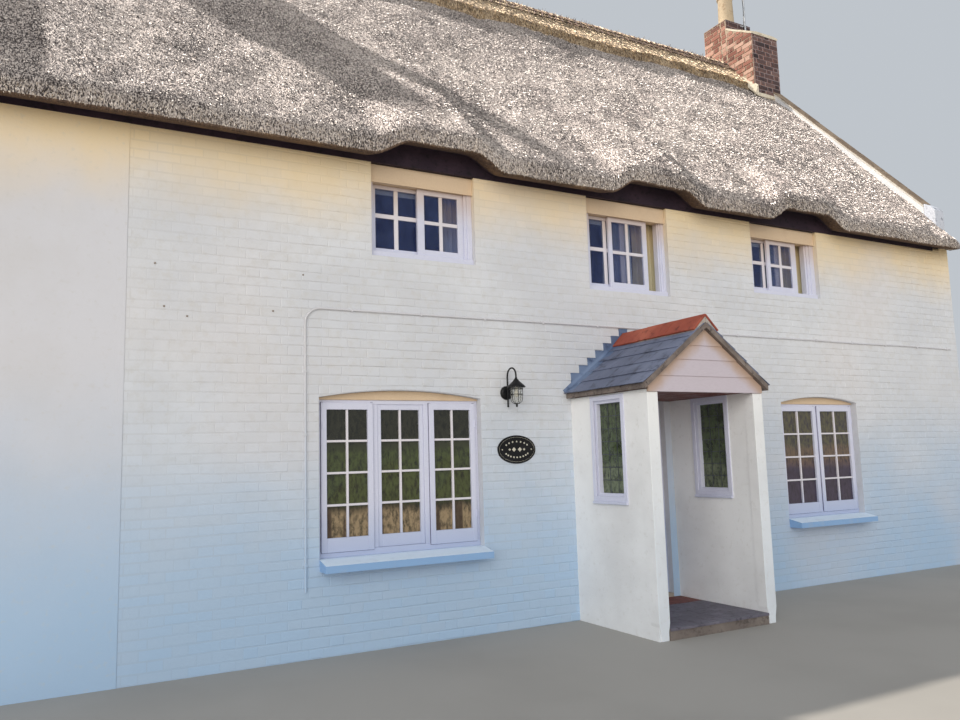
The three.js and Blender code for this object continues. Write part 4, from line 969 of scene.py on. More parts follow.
def add_ridge():
    x = np.linspace(-PARAPET_X + 0.001, PARAPET_X - 0.001, 260)
    steps = np.concatenate([[0, 0.012, 0.035, 0.07], np.linspace(0.12, 0.9, 12), [0.94, 0.97, 1.0]])
    halves = []
    for side, seed in ((1, 71), (-1, 83)):
        edge = 2.56 + waves(x, 0, seed, (0.05, 0.9, 0), (0.035, 3.3, 0), (0.02, 11, 0))
        y = edge[:, None] + steps * (RIDGE_Y - edge[:, None])
        base = THATCH_AT_WALL + ROOF_RISE * y
        level = [-0.03, 0.05, 0.095, 0.11, 0.12, 0.13, 0.128]
        z = base + np.interp(steps, [0, 0.012, 0.035, 0.07, 0.4, 0.9, 1], level)
        crest = RIDGE_TOP - 0.01 + 0.006 * wave(x * 2, 0, 5)[:, None]
        z = np.where(y > RIDGE_Y - 0.06, np.minimum(z, crest), z)
        distance = (RIDGE_Y - y) * SLOPE_LENGTH
        rough = waves(x[:, None], distance, seed + 3, (0.008, 2.2, 3), (0.006, 12, 4))
        z = z + rough * np.clip(steps * 12, 0, 1) * np.clip((1 - steps) * 8, 0.3, 1)
        z = np.minimum(z, RIDGE_TOP)
        if side < 0:
            y = DEPTH - y
        halves.append(np.stack([np.broadcast_to(x[:, None], y.shape), y, z], -1))
    front, rear = halves
    under = np.stack([x, np.full_like(x, RIDGE_Y), np.full_like(x, 7.85)], -1)[:, None]
    body = Shape()
    body.rings(np.concatenate([front, rear[:, -2::-1], under], 1))
    body.make("ridge_body", M["ridge bed"], slot="ridge_straw", replaces=["thatch_ridge"], smooth=80)
    loose, fringe, pegs = Shape(), Shape(), Shape()
    for side, grid, seed, count in ((1, front, 5, 9500), (-1, rear, 6, 3000)):
        down = grid[:, ::-1]
        last = grid.shape[1] - 1
        straws(loose, down, count, (0, last - 3), (0.06, 0.16), (0.006, 0.012), (0.004, 0.016), 0.16, seed)
        low = (last - 4, last)
        straws(fringe, down, count // 3, low, (0.06, 0.15), (0.007, 0.014), (0.002, 0.02), 0.3, seed + 9)
        for row, (from_top, gap) in enumerate(((0.1, 0.115), (0.21, 0.12))):
            offset = RIDGE_Y - from_top
            path_x = np.linspace(-5.38, 5.38, 90)
            where = offset if side > 0 else DEPTH - offset
            level = THATCH_AT_WALL + ROOF_RISE * offset + 0.138
            wobble = 0.006 * wave(path_x * 1.7, row, seed)
            height = np.minimum(level + wobble, RIDGE_TOP - 0.01)
            rod = np.stack([path_x, np.full_like(path_x, where), height], -1)
            pegs.tube(rod, 0.007, 5)
            for spot in np.arange(-5.35, 5.35, gap):
                spot += 0.012 * math.sin(spot * 37 + row)
                tilt = 0.025 * math.sin(spot * 53 + row * 2)
                dy, dz = -0.045 * side, 0.045 * ROOF_RISE
                head = (spot - tilt, where - dy, min(level + dz + 0.012, RIDGE_TOP - 0.004))
                foot = (spot + tilt, where + dy, level - dz + 0.014)
                pegs.tube([head, foot], [0.011, 0.008], 4)
    loose.make("ridge_straws", M["ridge straw"], slot="ridge_straw")
    fringe.make("ridge_fringe", M["fringe"], slot="ridge_straw")
    pegs.make("ridge_rods_and_spars", M["hazel"], slot="dark_wood")


add_ridge()


# Parapets
def add_parapets():
    for side, which in SIDES:
        for rear in (False, True):
            stones = Shape()
            head = DEPTH - CHIMNEY["back"] if rear else CHIMNEY["front"]

            def place(p, q, t, side=side, rear=rear):
                return side * t, DEPTH - p if rear else p, q

            y = KNEELER - 0.001
            while y < head - 0.02:
                end = min(y + 0.3 + 0.05 * rng.random(), head - GAP)
                if head - end < 0.12:
                    end = head - GAP
                tip = 0.004 * rng.standard_normal()
                a, b = y + 0.003, end - 0.003
                top, top_end = (COPING_TOP + ROOF_RISE * t + tip - 0.004 for t in (a, b))
                outline = [(a, top - 0.016), (b, top_end - 0.016), (b, top_end), (a, top)]
                stones.prism(outline, place, PARAPET_X - 0.012 + 0.003 * rng.random(), OUTER_X)
                y = end
            bed = [(p, COPING_TOP + ROOF_RISE * p - 0.017) for p in (KNEELER, head - 0.001)]
            bed += [(p, q - 0.041) for p, q in bed[::-1]]
            stones.prism(bed, place, PARAPET_X - 0.004, 5.607, 1)
            kneeler = [(0.001, 4.322), (0.149, 4.322), (0.149, 4.712), (0.04, 4.636), (0.001, 4.588)]
            stones.prism(kneeler, place, PARAPET_X, OUTER_X, 2)
            name = f"{which}_{'rear' if rear else 'front'}_coping"
            parts = [M["coping"], M["band"], M["kneeler"]]
            stones.make(name + "_stones", parts, slot="coping_stone", replaces=[name], bevel=0.006)


add_parapets()


# Chimneys
def add_chimneys():
    inside, front, step, back = (CHIMNEY[key] for key in ("inner", "front", "stack", "back"))
    slope = (CHIMNEY_SHOULDER_TOP - CHIMNEY_SHOULDER) / (step - front)
    mid_x, mid_y = (inside + HALF_LENGTH) / 2, (step + back) / 2

    def ceiling(u):
        return CHIMNEY_SHOULDER + slope * (u - front) if u < step - 0.001 else CHIMNEY_TOP

    def roof(u):
        return THATCH_AT_WALL + ROOF_RISE * min(u, DEPTH - u) + 0.02

    def coping(u):
        return COPING_TOP + ROOF_RISE * min(u, DEPTH - u) - 0.06

    for side, which in SIDES:
        bricks = Shape()
        for place, left, right, low, high, *floor in (
            (lambda u, v, out: (side * (inside - out), u, v), front, back, 7.1, CHIMNEY_TOP, roof),
            (lambda u, v, out: (side * (HALF_LENGTH + out), u, v), front, back, 7.2, CHIMNEY_TOP, coping),
            (lambda u, v, out: (side * u, front - out, v), inside, HALF_LENGTH, 7.1, CHIMNEY_SHOULDER),
            (lambda u, v, out: (side * u, step - out, v), inside, HALF_LENGTH, 8.5, CHIMNEY_TOP),
            (lambda u, v, out: (side * u, back + out, v), inside, HALF_LENGTH, 7.3, CHIMNEY_TOP),
        ):
            limits = ((), ceiling, *floor, (step, RIDGE_Y)) if floor else ()
            brickwork(bricks, place, left, right, low, high, *limits, open_joints=True)
        bricks.make(which + "_chimney_brickwork", M["brick"], slot="chimney_brick")

        # Mortar: round the pot, on the shoulder, and as fillets on the thatch beside and before the stack
        mortar = Shape()
        cap = []
        steps = ((0.27, 0.235, 0), (0.265, 0.23, 0.02), (0.2, 0.19, 0.05), (0.15, 0.15, 0.075))
        for half_x, half_y, z in steps:
            ring = []
            for cos, sin in turns(24):
                square = max(abs(cos), abs(sin))
                blend = 1 / square if z < 0.03 else 0.4 / square + 0.6
                x, y = side * mid_x + half_x * cos * blend, mid_y + half_y * sin * blend
                ring.append((x, y, CHIMNEY_TOP - 0.004 + z))
            cap.append(ring)
        mortar.rings(cap)
        shoulder = []
        for y in np.linspace(front - 0.012, step, 12):
            z = CHIMNEY_SHOULDER + slope * (y - front) + 0.006 * float(wave(y * 9, 0, 2))
            near = [(inside - 0.008, -0.03), (inside - 0.01, 0.004), (inside + 0.1, 0.022)]
            far = [(HALF_LENGTH + x, up) for x, up in ((-0.1, 0.022), (0.008, 0.004), (0.007, -0.03))]
            shoulder.append([(side * x, y, z + up) for x, up in near + far])
        mortar.rings(shoulder)
        fillet = []
        for y in np.linspace(front - 0.05, RIDGE_Y, 14):
            z = THATCH_AT_WALL + ROOF_RISE * y + 0.07
            grow = 0.12 * max(0.3, 1 - (y - front) / 0.5) + 0.008 * float(wave(y * 12, 1, 3))
            section = [(0.02, -0.06), (-0.05, -0.045), (-0.046, 0.004)]
            section += [(-0.02, grow * 0.5), (0.004, grow), (0.02, grow)]
            fillet.append([(side * (inside + x), y, z + up) for x, up in section])
        mortar.rings(fillet)
        fillet = []
        for x in np.linspace(inside - 0.03, HALF_LENGTH, 12):
            z = THATCH_AT_WALL + ROOF_RISE * front
            lift = 0.04 + 0.006 * float(wave(x * 9, 2, 4))
            section = [(0.01, -0.05), (-0.03, -0.03), (-0.028, 0.01), (-0.006, lift), (0.01, lift)]
            fillet.append([(side * x, front + y, z + up) for y, up in section])
        mortar.rings(fillet)
        mortar.make(which + "_chimney_mortar", M["fillet"], slot="coping_stone", smooth=35)

        skin = Shape()
        outline = [(front, 5.7), (back, 5.7), *((y, coping(y)) for y in (back, RIDGE_Y, front))]
        skin.prism(outline, lambda p, q, t: (side * t, p, q), HALF_LENGTH - 0.002, HALF_LENGTH + 0.0012)
        skin.make(which + "_chimney_wash", M["joint"], slot="whitewash")

        pot = Shape()
        profile = [(0.098, 0.04), (0.138, 0.04), (0.131, 0.09), (0.126, 0.3), (0.122, 0.5), (0.121, 0.54)]
        profile += [(0.136, 0.548), (0.14, 0.56), (0.137, 0.575), (0.125, 0.58), (0.125, 0.592)]
        profile += [(0.139, 0.6), (0.143, 0.615), (0.139, 0.63), (0.127, 0.636), (0.127, 0.648)]
        profile += [(0.144, 0.655), (0.146, 0.67), (0.14, 0.68), (0.1, 0.68), (0.096, 0.66)]
        pot.lathe(profile, upright(side * mid_x, mid_y, CHIMNEY_TOP + 0.0003), 40, closed=True)
        pot.make(which + "_pot", M["pot"], slot="clay", replaces=[which + "_chimney_pot"], smooth=50)

    mast = Shape()
    x, y = 5.43, step - 0.046
    foot = CHIMNEY_SHOULDER + slope * (y - front) + 0.005
    mast.tube([(x, y, z) for z in (foot, 8.7, 9.2, 9.8985)], 0.016, 16)
    mast.tube([(x, y, z) for z in (9.885, 9.89, 9.8995)], [0.0165, 0.018, 0.012], 16)
    for height in (8.6, 8.69):
        mast.box(x - 0.07, x + 0.07, y + 0.034, y + 0.046, height - 0.012, height + 0.012)
        mast.box(x - 0.012, x + 0.012, y, y + 0.04, height - 0.012, height + 0.012)
        mast.tube([(x, y, height - 0.014), (x, y, height + 0.014)], 0.021, 16)
        for bolt in (x - 0.055, x + 0.055):
            mast.tube([(bolt, y + 0.036, height), (bolt, y + 0.026, height)], 0.006, 6)
    mast.make("mast_and_straps", M["zinc"], slot="mast_metal", replaces=["aerial_mast"], smooth=35)
    flex = Shape()
    heights = np.linspace(9.86, 8.62, 26)
    path = [(x - 0.024 - 0.003 * math.sin(z * 11), y - 0.004 * math.cos(z * 7), z) for z in heights]
    flex.tube(path, 0.0045, 6)
    flex.make("mast_stay", M["iron"], slot="mast_metal")


add_chimneys()


# Windows. Sliding sashes: rear and front one as (x0, x1, left stile, right stile), and the casing's width
SASHES = {
    "upper_window_left": ((-2.485, -2.0, 0.047, 0.047), (-2.058, -1.616, 0.065, 0.048), 0.093),
    "upper_window_middle": ((-0.222, 0.262, 0.052, 0.052), (0.036, 0.524, 0.042, 0.053), 0.07),
    "upper_window_right": ((2.015, 2.5, 0.056, 0.056), (2.275, 2.747, 0.05, 0.076), 0.13),
}
ROD_TOP, ROD_DEPTH = 3.95, 0.19
# Curtains: name, cloth, window, x0, x1, height of the hem, folds
CURTAINS = (
    ("curtain_left", "beige cloth", "upper_window_left", -1.78, -1.545, 3.23, 4),
    ("voile_middle", "voile", "upper_window_middle", 0.03, 0.4, 3.1, 6),
    ("curtain_middle", "khaki cloth", "upper_window_middle", 0.415, 0.72, 3.1, 5),
    ("voile_right", "voile", "upper_window_right", 2.28, 2.63, 3.24, 6),
    ("curtain_right", "khaki cloth", "upper_window_right", 2.645, 3.01, 3.24, 6),
    ("rear_curtain_left", "beige cloth", "rear_upper_window_left", 2.15, 2.43, 3.22, 5),
    ("rear_curtain_right", "beige cloth", "rear_upper_window_right", -3.15, -2.87, 3.22, 5),
)


def at_front(x, d, z):
    return x, d, z


def at_rear(x, d, z):
    return x, DEPTH - d, z


def add_pane(panes, place, xs, zs, depths, tilt):
    """A pane between xs, zs and depths. tilt moves its four corners in and out."""
    corners = []
    for a, x in enumerate(xs):
        for depth in depths:
            corners += [place(x, depth + tilt[2 * a + b], z) for b, z in enumerate(zs)]
    panes.bulk(corners, BOX)


def glazed_sash(frames, panes, place, x, z, depth, grid, rails, seed, bar=0.009, rise=0.0):
    """A sash between x, z and depth ranges: stiles, rails, glazing bars and one pane in each light.

    grid is (columns, rows), rails (left stile, right stile, top, bottom); rise moves the level bars up.
    """
    (x0, x1), (z0, z1), (near, far), (columns, rows) = x, z, depth, grid
    x0, x1, z0, z1 = x0 + rails[0], x1 - rails[1], z0 + rails[3], z1 - rails[2]
    frames.frame(x, z, depth, rails, place)
    xs = [x0 + (x1 - x0) * i / columns for i in range(columns + 1)]
    zs = [z0 + (z1 - z0) * j / rows + (rise if 0 < j < rows else 0) for j in range(rows + 1)]
    for a in xs[1:-1]:
        frames.box(a - bar, a + bar, near + 0.006, far - 0.006, z0, z1, 3, place)
    for b in zs[1:-1]:
        frames.box(x0, x1, near + 0.007, far - 0.007, b - bar, b + bar, 3, place)
    middle = (near + far) / 2
    rand = np.random.default_rng(seed)
    for a0, a1 in zip(xs, xs[1:]):
        for b0, b1 in zip(zs, zs[1:]):
            light = (a0 - 0.002, a1 + 0.002), (b0 - 0.002, b1 + 0.002)
            add_pane(panes, place, *light, (middle, middle + 0.004), 0.0016 * rand.standard_normal(4))


def ground_window(name, left, right, bottom, lights, place, glass):
    """Casements under an arched board: the outer ones open and are lipped over the frame."""
    frames, panes = Shape(), Shape()
    near, far = 0.075, 0.16
    edge, mullion, stile = 0.045, 0.056, 0.035
    lo, hi = left + GAP, right - GAP
    rail, base = bottom + 0.0345, bottom + 0.086

    def part(x0, x1, z0, z1, y0=near, y1=far, mark=0):
        frames.box(x0, x1, y0, y1, z0, z1, mark, place)

    part(lo, left + edge, base, CASEMENT_TOP)
    part(right - edge, hi, base, CASEMENT_TOP)
    part(lo, hi, rail, base, near - 0.004)
    part(lo, hi, CASEMENT_TOP, ARCH_BOARD, near + 0.001)
    curve = arch_curve(left, right)
    outline = [(float(x), curve(float(x)) - 0.0006) for x in np.linspace(lo, hi, 17)][::-1]
    outline = [(lo, ARCH_BOARD), (hi, ARCH_BOARD), *outline]
    frames.prism(outline, lambda p, q, t: place(p, t, q), near - 0.012, far, 1)
    width = (right - left - 2 * edge - (lights - 1) * mullion) / lights
    for i in range(lights):
        x0 = left + edge + i * (width + mullion)
        if i:
            part(x0 - mullion, x0, base, CASEMENT_TOP)
        opening = i != 1 or lights == 2
        lip, front = (0.011, near - 0.018) if opening else (-0.001, near + 0.01)
        x, z = (x0 - lip, x0 + width + lip), (base - lip, CASEMENT_TOP + 0.001 + lip)
        rails = (stile + lip, stile + lip, 0.045 + lip, 0.101 + lip)
        seed = int(1000 * abs(x0)) + 7
        glazed_sash(frames, panes, place, x, z, (front, front + 0.05), (2, 4), rails, seed)
        if opening:
            # Painted shadow: a dark rim round each opening casement, in its gap against the frame.
            gap_shadow = 0.0035
            shadow = (near - 0.006, near + 0.002, 2)
            part(x[0] - gap_shadow, x[1] + gap_shadow, z[0] - gap_shadow, z[0] + 0.02, *shadow)
            part(x[0] - gap_shadow, x[0] + 0.02, z[0] + 0.02, z[1] + gap_shadow, *shadow)
            part(x[1] - 0.02, x[1] + gap_shadow, z[0] + 0.02, z[1] + gap_shadow, *shadow)
            hinge_x = x0 - 0.006 if i == 0 else x0 + width + 0.006
            for low in (base + 0.19, 1.75):
                frames.tube([place(hinge_x, front - 0.004, z) for z in (low, low + 0.06)], 0.006, 8)
    make_window(name, frames, panes, glass)


def make_window(name, frames, panes, glass):
    paints = [M[key] for key in ("paint", "board paint", "gap_shadow", "bar paint", "blind")]
    used = max(int(marks.max()) for marks in frames.marks) + 1
    frames.make(name + "_frame", paints[:used], slot="window_paint", replaces=[name], bevel=0.0025)
    panes.make(name + "_panes", M[glass])


def upper_window(name, left, right, bottom, place, rear, front, casing):
    """A head board over two sliding sashes. rear and front are (x0, x1, left stile, right stile)."""
    frames, panes = Shape(), Shape()
    far, top = 0.145, 3.857
    lo, hi = left + GAP, right - GAP
    step = casing * 0.8
    for x0, x1, near, y1, z0, z1, mark in (
        (lo, hi, 0.037, far, 3.86, WALL_TOP - GAP, 1),
        (lo, hi, 0.031, 0.04, 3.852, 3.868, 1),
        (lo, rear[0] + 0.004, 0.052, far, bottom + 0.05, 3.86, 0),
        (right - casing * 0.5, hi, 0.052, far, bottom + 0.05, 3.86, 0),
        (right - step, right - casing * 0.5, 0.064, far, bottom + 0.05, 3.86, 0),
        (right - casing, right - step, 0.078, far, bottom + 0.05, 3.86, 0),
        (lo, hi, 0.035, far, bottom + GAP, bottom + 0.052, 0),
    ):
        frames.box(x0, x1, near, y1, z0, z1, mark, place)
    seed = int(1000 * abs(left)) + 3
    z = (bottom + 0.052, top)
    rails = (*rear[2:], 0.032, 0.045)
    glazed_sash(frames, panes, place, rear[:2], z, (0.112, 0.142), (2, 2), rails, seed, 0.019, 0.025)
    rails = (*front[2:], 0.046, 0.062)
    glazed_sash(frames, panes, place, front[:2], z, (0.072, 0.102), (2, 2), rails, seed + 1, 0.016)
    frames.box(rear[0] + 0.02, front[0] + 0.05, 0.148, 0.154, 3.785, 3.93, 4, place)
    make_window(name, frames, panes, "upper glass")


def curtain(name, cloth, place, x0, x1, top, bottom, folds):
    """A pleated curtain on a thin rod, as one closed sheet 1.4 mm thick."""
    steps, rows = folds * 12, 14
    t = np.linspace(0, 1, steps + 1)
    rings = []
    rand = np.random.default_rng(folds)
    phase = np.cumsum(0.85 + 0.3 * rand.random(steps + 1)) / (steps + 1)
    phase = phase / phase[-1] * folds * 2 * math.pi
    for k in range(rows + 1):
        fall = k / rows
        z = top + (bottom - top) * fall
        x = x1 + (x0 - x1) * (1 - t) * (1 - 0.05 * math.sin(fall * math.pi))
        d = ROD_DEPTH + (0.012 + 0.012 * fall) * np.sin(phase + 0.4 * fall)
        slope = unit(np.stack([np.gradient(x), np.gradient(d)], 1))
        ox, od = -slope[:, 1] * 0.0007, slope[:, 0] * 0.0007
        one = [place(a, b, z) for a, b in zip(x + ox, d + od)]
        two = [place(a, b, z) for a, b in zip((x - ox)[::-1], (d - od)[::-1])]
        rings.append(one + two)
    sheet = Shape()
    sheet.rings(rings)
    piece = sheet.make(name, M[cloth], smooth=60)


def curtain_rod(name, place, left, right):
    rod = Shape()
    x0, x1 = left + 0.001, right - 0.001
    rod.tube([place(x, ROD_DEPTH, ROD_TOP) for x in (x0, (x0 + x1) / 2, x1)], 0.006, 12)
    knob = [(0.006, -0.004), (0.016, -0.004), (0.016, 0.004), (0.006, 0.004)]
    for x in (x0 + 0.004, x1 - 0.004):
        rod.lathe(knob, lambda a, b, h, x=x: place(x + h, ROD_DEPTH + a, ROD_TOP + b), 16)
    rod.make(name, M["iron"], slot="iron", smooth=40)


def add_windows():
    for name, (left, right, bottom, lights) in GROUND_OPENINGS.items():
        glass = "glass with painted green reflections" if lights == 3 else "glass with painted dusky reflections"
        ground_window(name, left, right, bottom, lights, at_front, glass)
    for name, (left, right, bottom, lights) in REAR_GROUND_OPENINGS.items():
        ground_window(name, left, right, bottom, lights, at_rear, "glass with painted dusky reflections")
        sill = Shape()
        outline = [(-0.16, bottom - 0.055), (0, bottom - 0.055), (0, bottom + 0.034), (-0.16, bottom)]
        sill.prism(outline, lambda p, q, t: at_rear(t, p, q), left, right)
        sill.box(left + GAP, right - GAP, -0.001, 0.0755, bottom + GAP, bottom + 0.034, 0, at_rear)
        sill.make(name.replace("window", "sill"), M["sill"], slot="sill_paint", bevel=0.005)
    for name, (left, right, bottom) in UPPER_OPENINGS.items():
        upper_window(name, left, right, bottom, at_front, *SASHES[name])
        curtain_rod(name + "_rod", at_front, left, right)
    for name, (left, right, bottom) in REAR_UPPER_OPENINGS.items():
        middle = (left + right) / 2
        sashes = (left + 0.045, middle + 0.025, 0.05, 0.05), (middle - 0.025, right - 0.065, 0.05, 0.05)
        upper_window(name, left, right, bottom, at_rear, *sashes, 0.07)
        curtain_rod(name + "_rod", at_rear, left, right)
    for name, cloth, window, x0, x1, low, folds in CURTAINS:
        place = at_rear if name.startswith("rear") else at_front
        curtain(name, cloth, place, x0, x1, ROD_TOP - 0.01, low, folds)


add_windows()


# Front door
def add_door():
    leaf = Shape()
    x0, x1, y0, y1, z0, z1 = -0.3147, 0.4927, 0.106, 0.15, 0.1353, 1.9547
    stile, rail, kick, lock = 0.095, 0.1, 0.19, (0.93, 1.05)
    for a, b in ((x0, x0 + stile), (x1 - stile, x1)):
        leaf.box(a, b, y0, y1, z0, z1)
    for a, b in ((z0, z0 + kick), lock, (z1 - rail, z1)):
        leaf.box(x0 + stile, x1 - stile, y0, y1, a, b)
    boards = 6
    wide = (x1 - x0 - 2 * stile) / boards
    for i in range(boards):
        a = x0 + stile + i * wide
        for low, high in ((z0 + kick, lock[0]), (lock[1], z1 - rail)):
            leaf.box(a + 0.0008, a + wide - 0.0008, y0 + 0.012, y1 - 0.01, low - 0.004, high + 0.004)
    leaf.make("door_leaf", M["paint"], "door", "window_paint", ["front_door"], 0.003)
    hinges = Shape()
    x, y = -0.3172, 0.158  # the hinge's axis
    for z in (0.42, 1.69):
        hinges.tube([(x, y, z + 0.0003), (x, y, z + 0.05)], 0.007, 16)
        hinges.box(x + 0.0025, x + 0.032, 0.1495, 0.153, z + 0.0003, z + 0.05)
        for screw in (z + 0.012, z + 0.038):
            hinges.tube([(x + 0.02, 0.1525, screw), (x + 0.02, 0.154, screw)], 0.004, 8)
    hinges.make("door_hinges", M["iron"], "door", "iron", smooth=35)
    knob = Shape()
    profile = [(0.027, 0), (0.028, 0.004), (0.025, 0.007), (0.011, 0.009), (0.0095, 0.03)]
    profile += [(0.018, 0.036), (0.0255, 0.044), (0.027, 0.052)]
    profile += [(0.024, 0.06), (0.014, 0.0645), (0.004, 0.065)]
    knob.lathe(profile, outward(0.4307, 0.1057, 1.0903), 28)
    knob.make("door_handle", M["iron"], "door", "iron", ["door_knob"], smooth=50)
    plate = Shape()
    plate.box(0.409, 0.452, 0.102, 0.106, 0.98, 1.04)
    plate.make("door_lock_plate", M["iron"], "door", "iron", bevel=0.001)


add_door()


# Porch
PITCH = (PORCH_APEX - PORCH_EAVES) / PORCH_HALF_ROOF
PITCH_LENGTH = math.hypot(1, PITCH)


def on_porch_roof(side, along, y, above):
    """A point on a porch slope: along is the distance down the slope from the apex."""
    out, down = along / PITCH_LENGTH, along * PITCH / PITCH_LENGTH
    nx, nz = PITCH / PITCH_LENGTH, 1 / PITCH_LENGTH
    return DOOR_X + side * (out + nx * above), y, PORCH_APEX - down + nz * above


def add_porch_roof():
    length = PORCH_HALF_ROOF * PITCH_LENGTH
    exposure, width = 0.168, 0.245
    for side, which in SIDES:
        slates = Shape()
        row = 0
        low = length + 0.022
        while low > 0.12:
            high = max(low - 0.3, 0.02)
            start = PORCH_ROOF_FRONT + 0.002
            edges = np.arange(start + (width / 2 if row % 2 else width), -0.004, width)
            edges = [start, *edges[(edges > start + 0.03) & (edges < -0.03)], -0.004]
            for y0, y1 in zip(edges, edges[1:]):
                skew, tip = 0.0015 * rng.standard_normal(), 0.003 * rng.standard_normal()
                corners = []
                for t, rise in ((low + tip, 0.0165 + abs(skew)), (high, 0.002)):
                    for y in (y0 + 0.0015, y1 - 0.0015):
                        corners += [on_porch_roof(side, t, y, rise + thick) for thick in (0, 0.007)]
                slates.bulk(corners, BOX)
            low -= exposure
            row += 1
        slates.make(f"porch_{which}_slates", M["slate"], slot="slate", bevel=0.0012)

    tiles = Shape()
    ends = np.linspace(PORCH_ROOF_FRONT, -0.008, 4)
    leg, thick, clear = 0.15, 0.018, 0.02
    for y0, y1 in zip(ends, ends[1:]):
        tip = 0.002 * rng.standard_normal()
        inner = [on_porch_roof(side, leg, 0, clear + tip)[::2] for side in (-1, 1)]
        outer = [on_porch_roof(side, leg + 0.004, 0, clear + thick + tip)[::2] for side in (-1, 1)]
        peak = PORCH_APEX + 0.05 + tip
        crown = [(DOOR_X + 0.012, peak + 0.021), (DOOR_X - 0.012, peak + 0.021)]
        section = [inner[0], (DOOR_X, peak), inner[1], outer[1], *crown, outer[0]]
        tiles.prism(section, along_y, y0 + 0.002, y1 - 0.003)
    replaced = ["porch_ridge_tiles"]
    tiles.make("porch_ridge_caps", M["terracotta"], slot="terracotta", replaces=replaced, bevel=0.003)

    mortar = Shape()
    for side in (-1, 1):
        outline = []
        for along, above in ((0.0, 0.0), (0.16, 0.0), (0.16, 0.018), (0.0, 0.045)):
            x, _, z = on_porch_roof(side, along, 0, above)
            outline.append((x if along else DOOR_X, z + (0.02 if not along and above else 0)))
        mortar.prism(outline, along_y, PORCH_ROOF_FRONT + 0.006, -0.3, 1)
        section = ((0.1, -0.012), (length + 0.01, -0.012), (length + 0.01, 0.008), (0.1, 0.008))
        ends = (PORCH_ROOF_FRONT + 0.001, PORCH_ROOF_FRONT + 0.03)
        mortar.rings([[on_porch_roof(side, a, y, b) for a, b in section] for y in ends])
    mortar.make("porch_verge_mortar", [M["verge"], M["ridge mortar"]], slot="slate", bevel=0.003)

    boards = Shape()
    half = PORCH_INSIDE + PORCH_WALL
    peak = PORCH_APEX - 0.036 * PITCH_LENGTH - 0.0015
    lines = [ARCH_BOARD, 2.12, 2.262, 2.385, 2.52]
    for low, high in zip(lines, lines[1:]):
        high += 0.012
        a, b = (min(half, (peak - z) / PITCH) for z in (low, high))
        if high >= peak:
            outline = [(-a, low), (a, low), (0, peak)]
        elif a >= half - 1e-6 and b < half:
            z = peak - PITCH * half
            outline = [(-a, low), (a, low), (half, z), (b, high), (-b, high), (-half, z)]
        else:
            outline = [(-a, low), (a, low), (b, high), (-b, high)]
        top = max(q for _, q in outline)

        def lean(p, q, t, low=low, top=top):
            return DOOR_X + p, t + (0.009 * (q - low) / (top - low) if t < -1.1 else 0), q

        boards.prism(outline, lean, -1.106, -1.0805)
    replaced = ["porch_gable_boards"]
    boards.make("porch_boards", M["gable board"], slot="gable_board", replaces=replaced, bevel=0.002)


add_porch_roof()


def add_flashing():
    step = BRICK_COURSE / PITCH
    top = 2.703
    reach = 6.5 * step

    def slope(d):
        return PORCH_APEX - PITCH * d + 0.001

    half = [(0.105, slope(0.115) + 0.039), (0.115, slope(0.115)), (reach, slope(reach))]
    for i in range(6, -1, -1):
        out = (i + 0.5) * step
        half += [(out, top - (i + 1) * BRICK_COURSE), (out, top - i * BRICK_COURSE)]
    del half[3]
    outline = [(0, slope(0) + 0.079), *half, *[(-d, z) for d, z in half[::-1]]]
    lead = Shape()
    lead.prism([(DOOR_X + d, z) for d, z in outline], along_y, -0.0125, -0.001)
    for i in range(7):
        for side in (-1, 1):
            x = DOOR_X + side * (i + 0.5) * step
            z = top - i * BRICK_COURSE
            a, b = sorted((x, x - side * min(step, abs(x - DOOR_X))))
            lead.box(a, b, -0.0155, 0.0, z - 0.006, z)
    for side in (-1, 1):
        strip = []
        for along in np.linspace(0.13, PORCH_HALF_ROOF * PITCH_LENGTH + 0.01, 26):
            edge = -0.11 + 0.006 * float(wave(along * 9, side, 4))
            low = 0.019 + 0.002 * float(wave(along * 14, side, 6))
            section = [(-0.004, low), (edge, low), (edge, low + 0.0035), (-0.02, low + 0.006)]
            section += [(-0.013, low + 0.03), (-0.004, low + 0.03)]
            strip.append([on_porch_roof(side, along, y, up) for y, up in section])
        lead.rings(strip)
    lead.make("porch_lead", M["lead"], slot="lead", replaces=["porch_flashing"], smooth=30)


add_flashing()


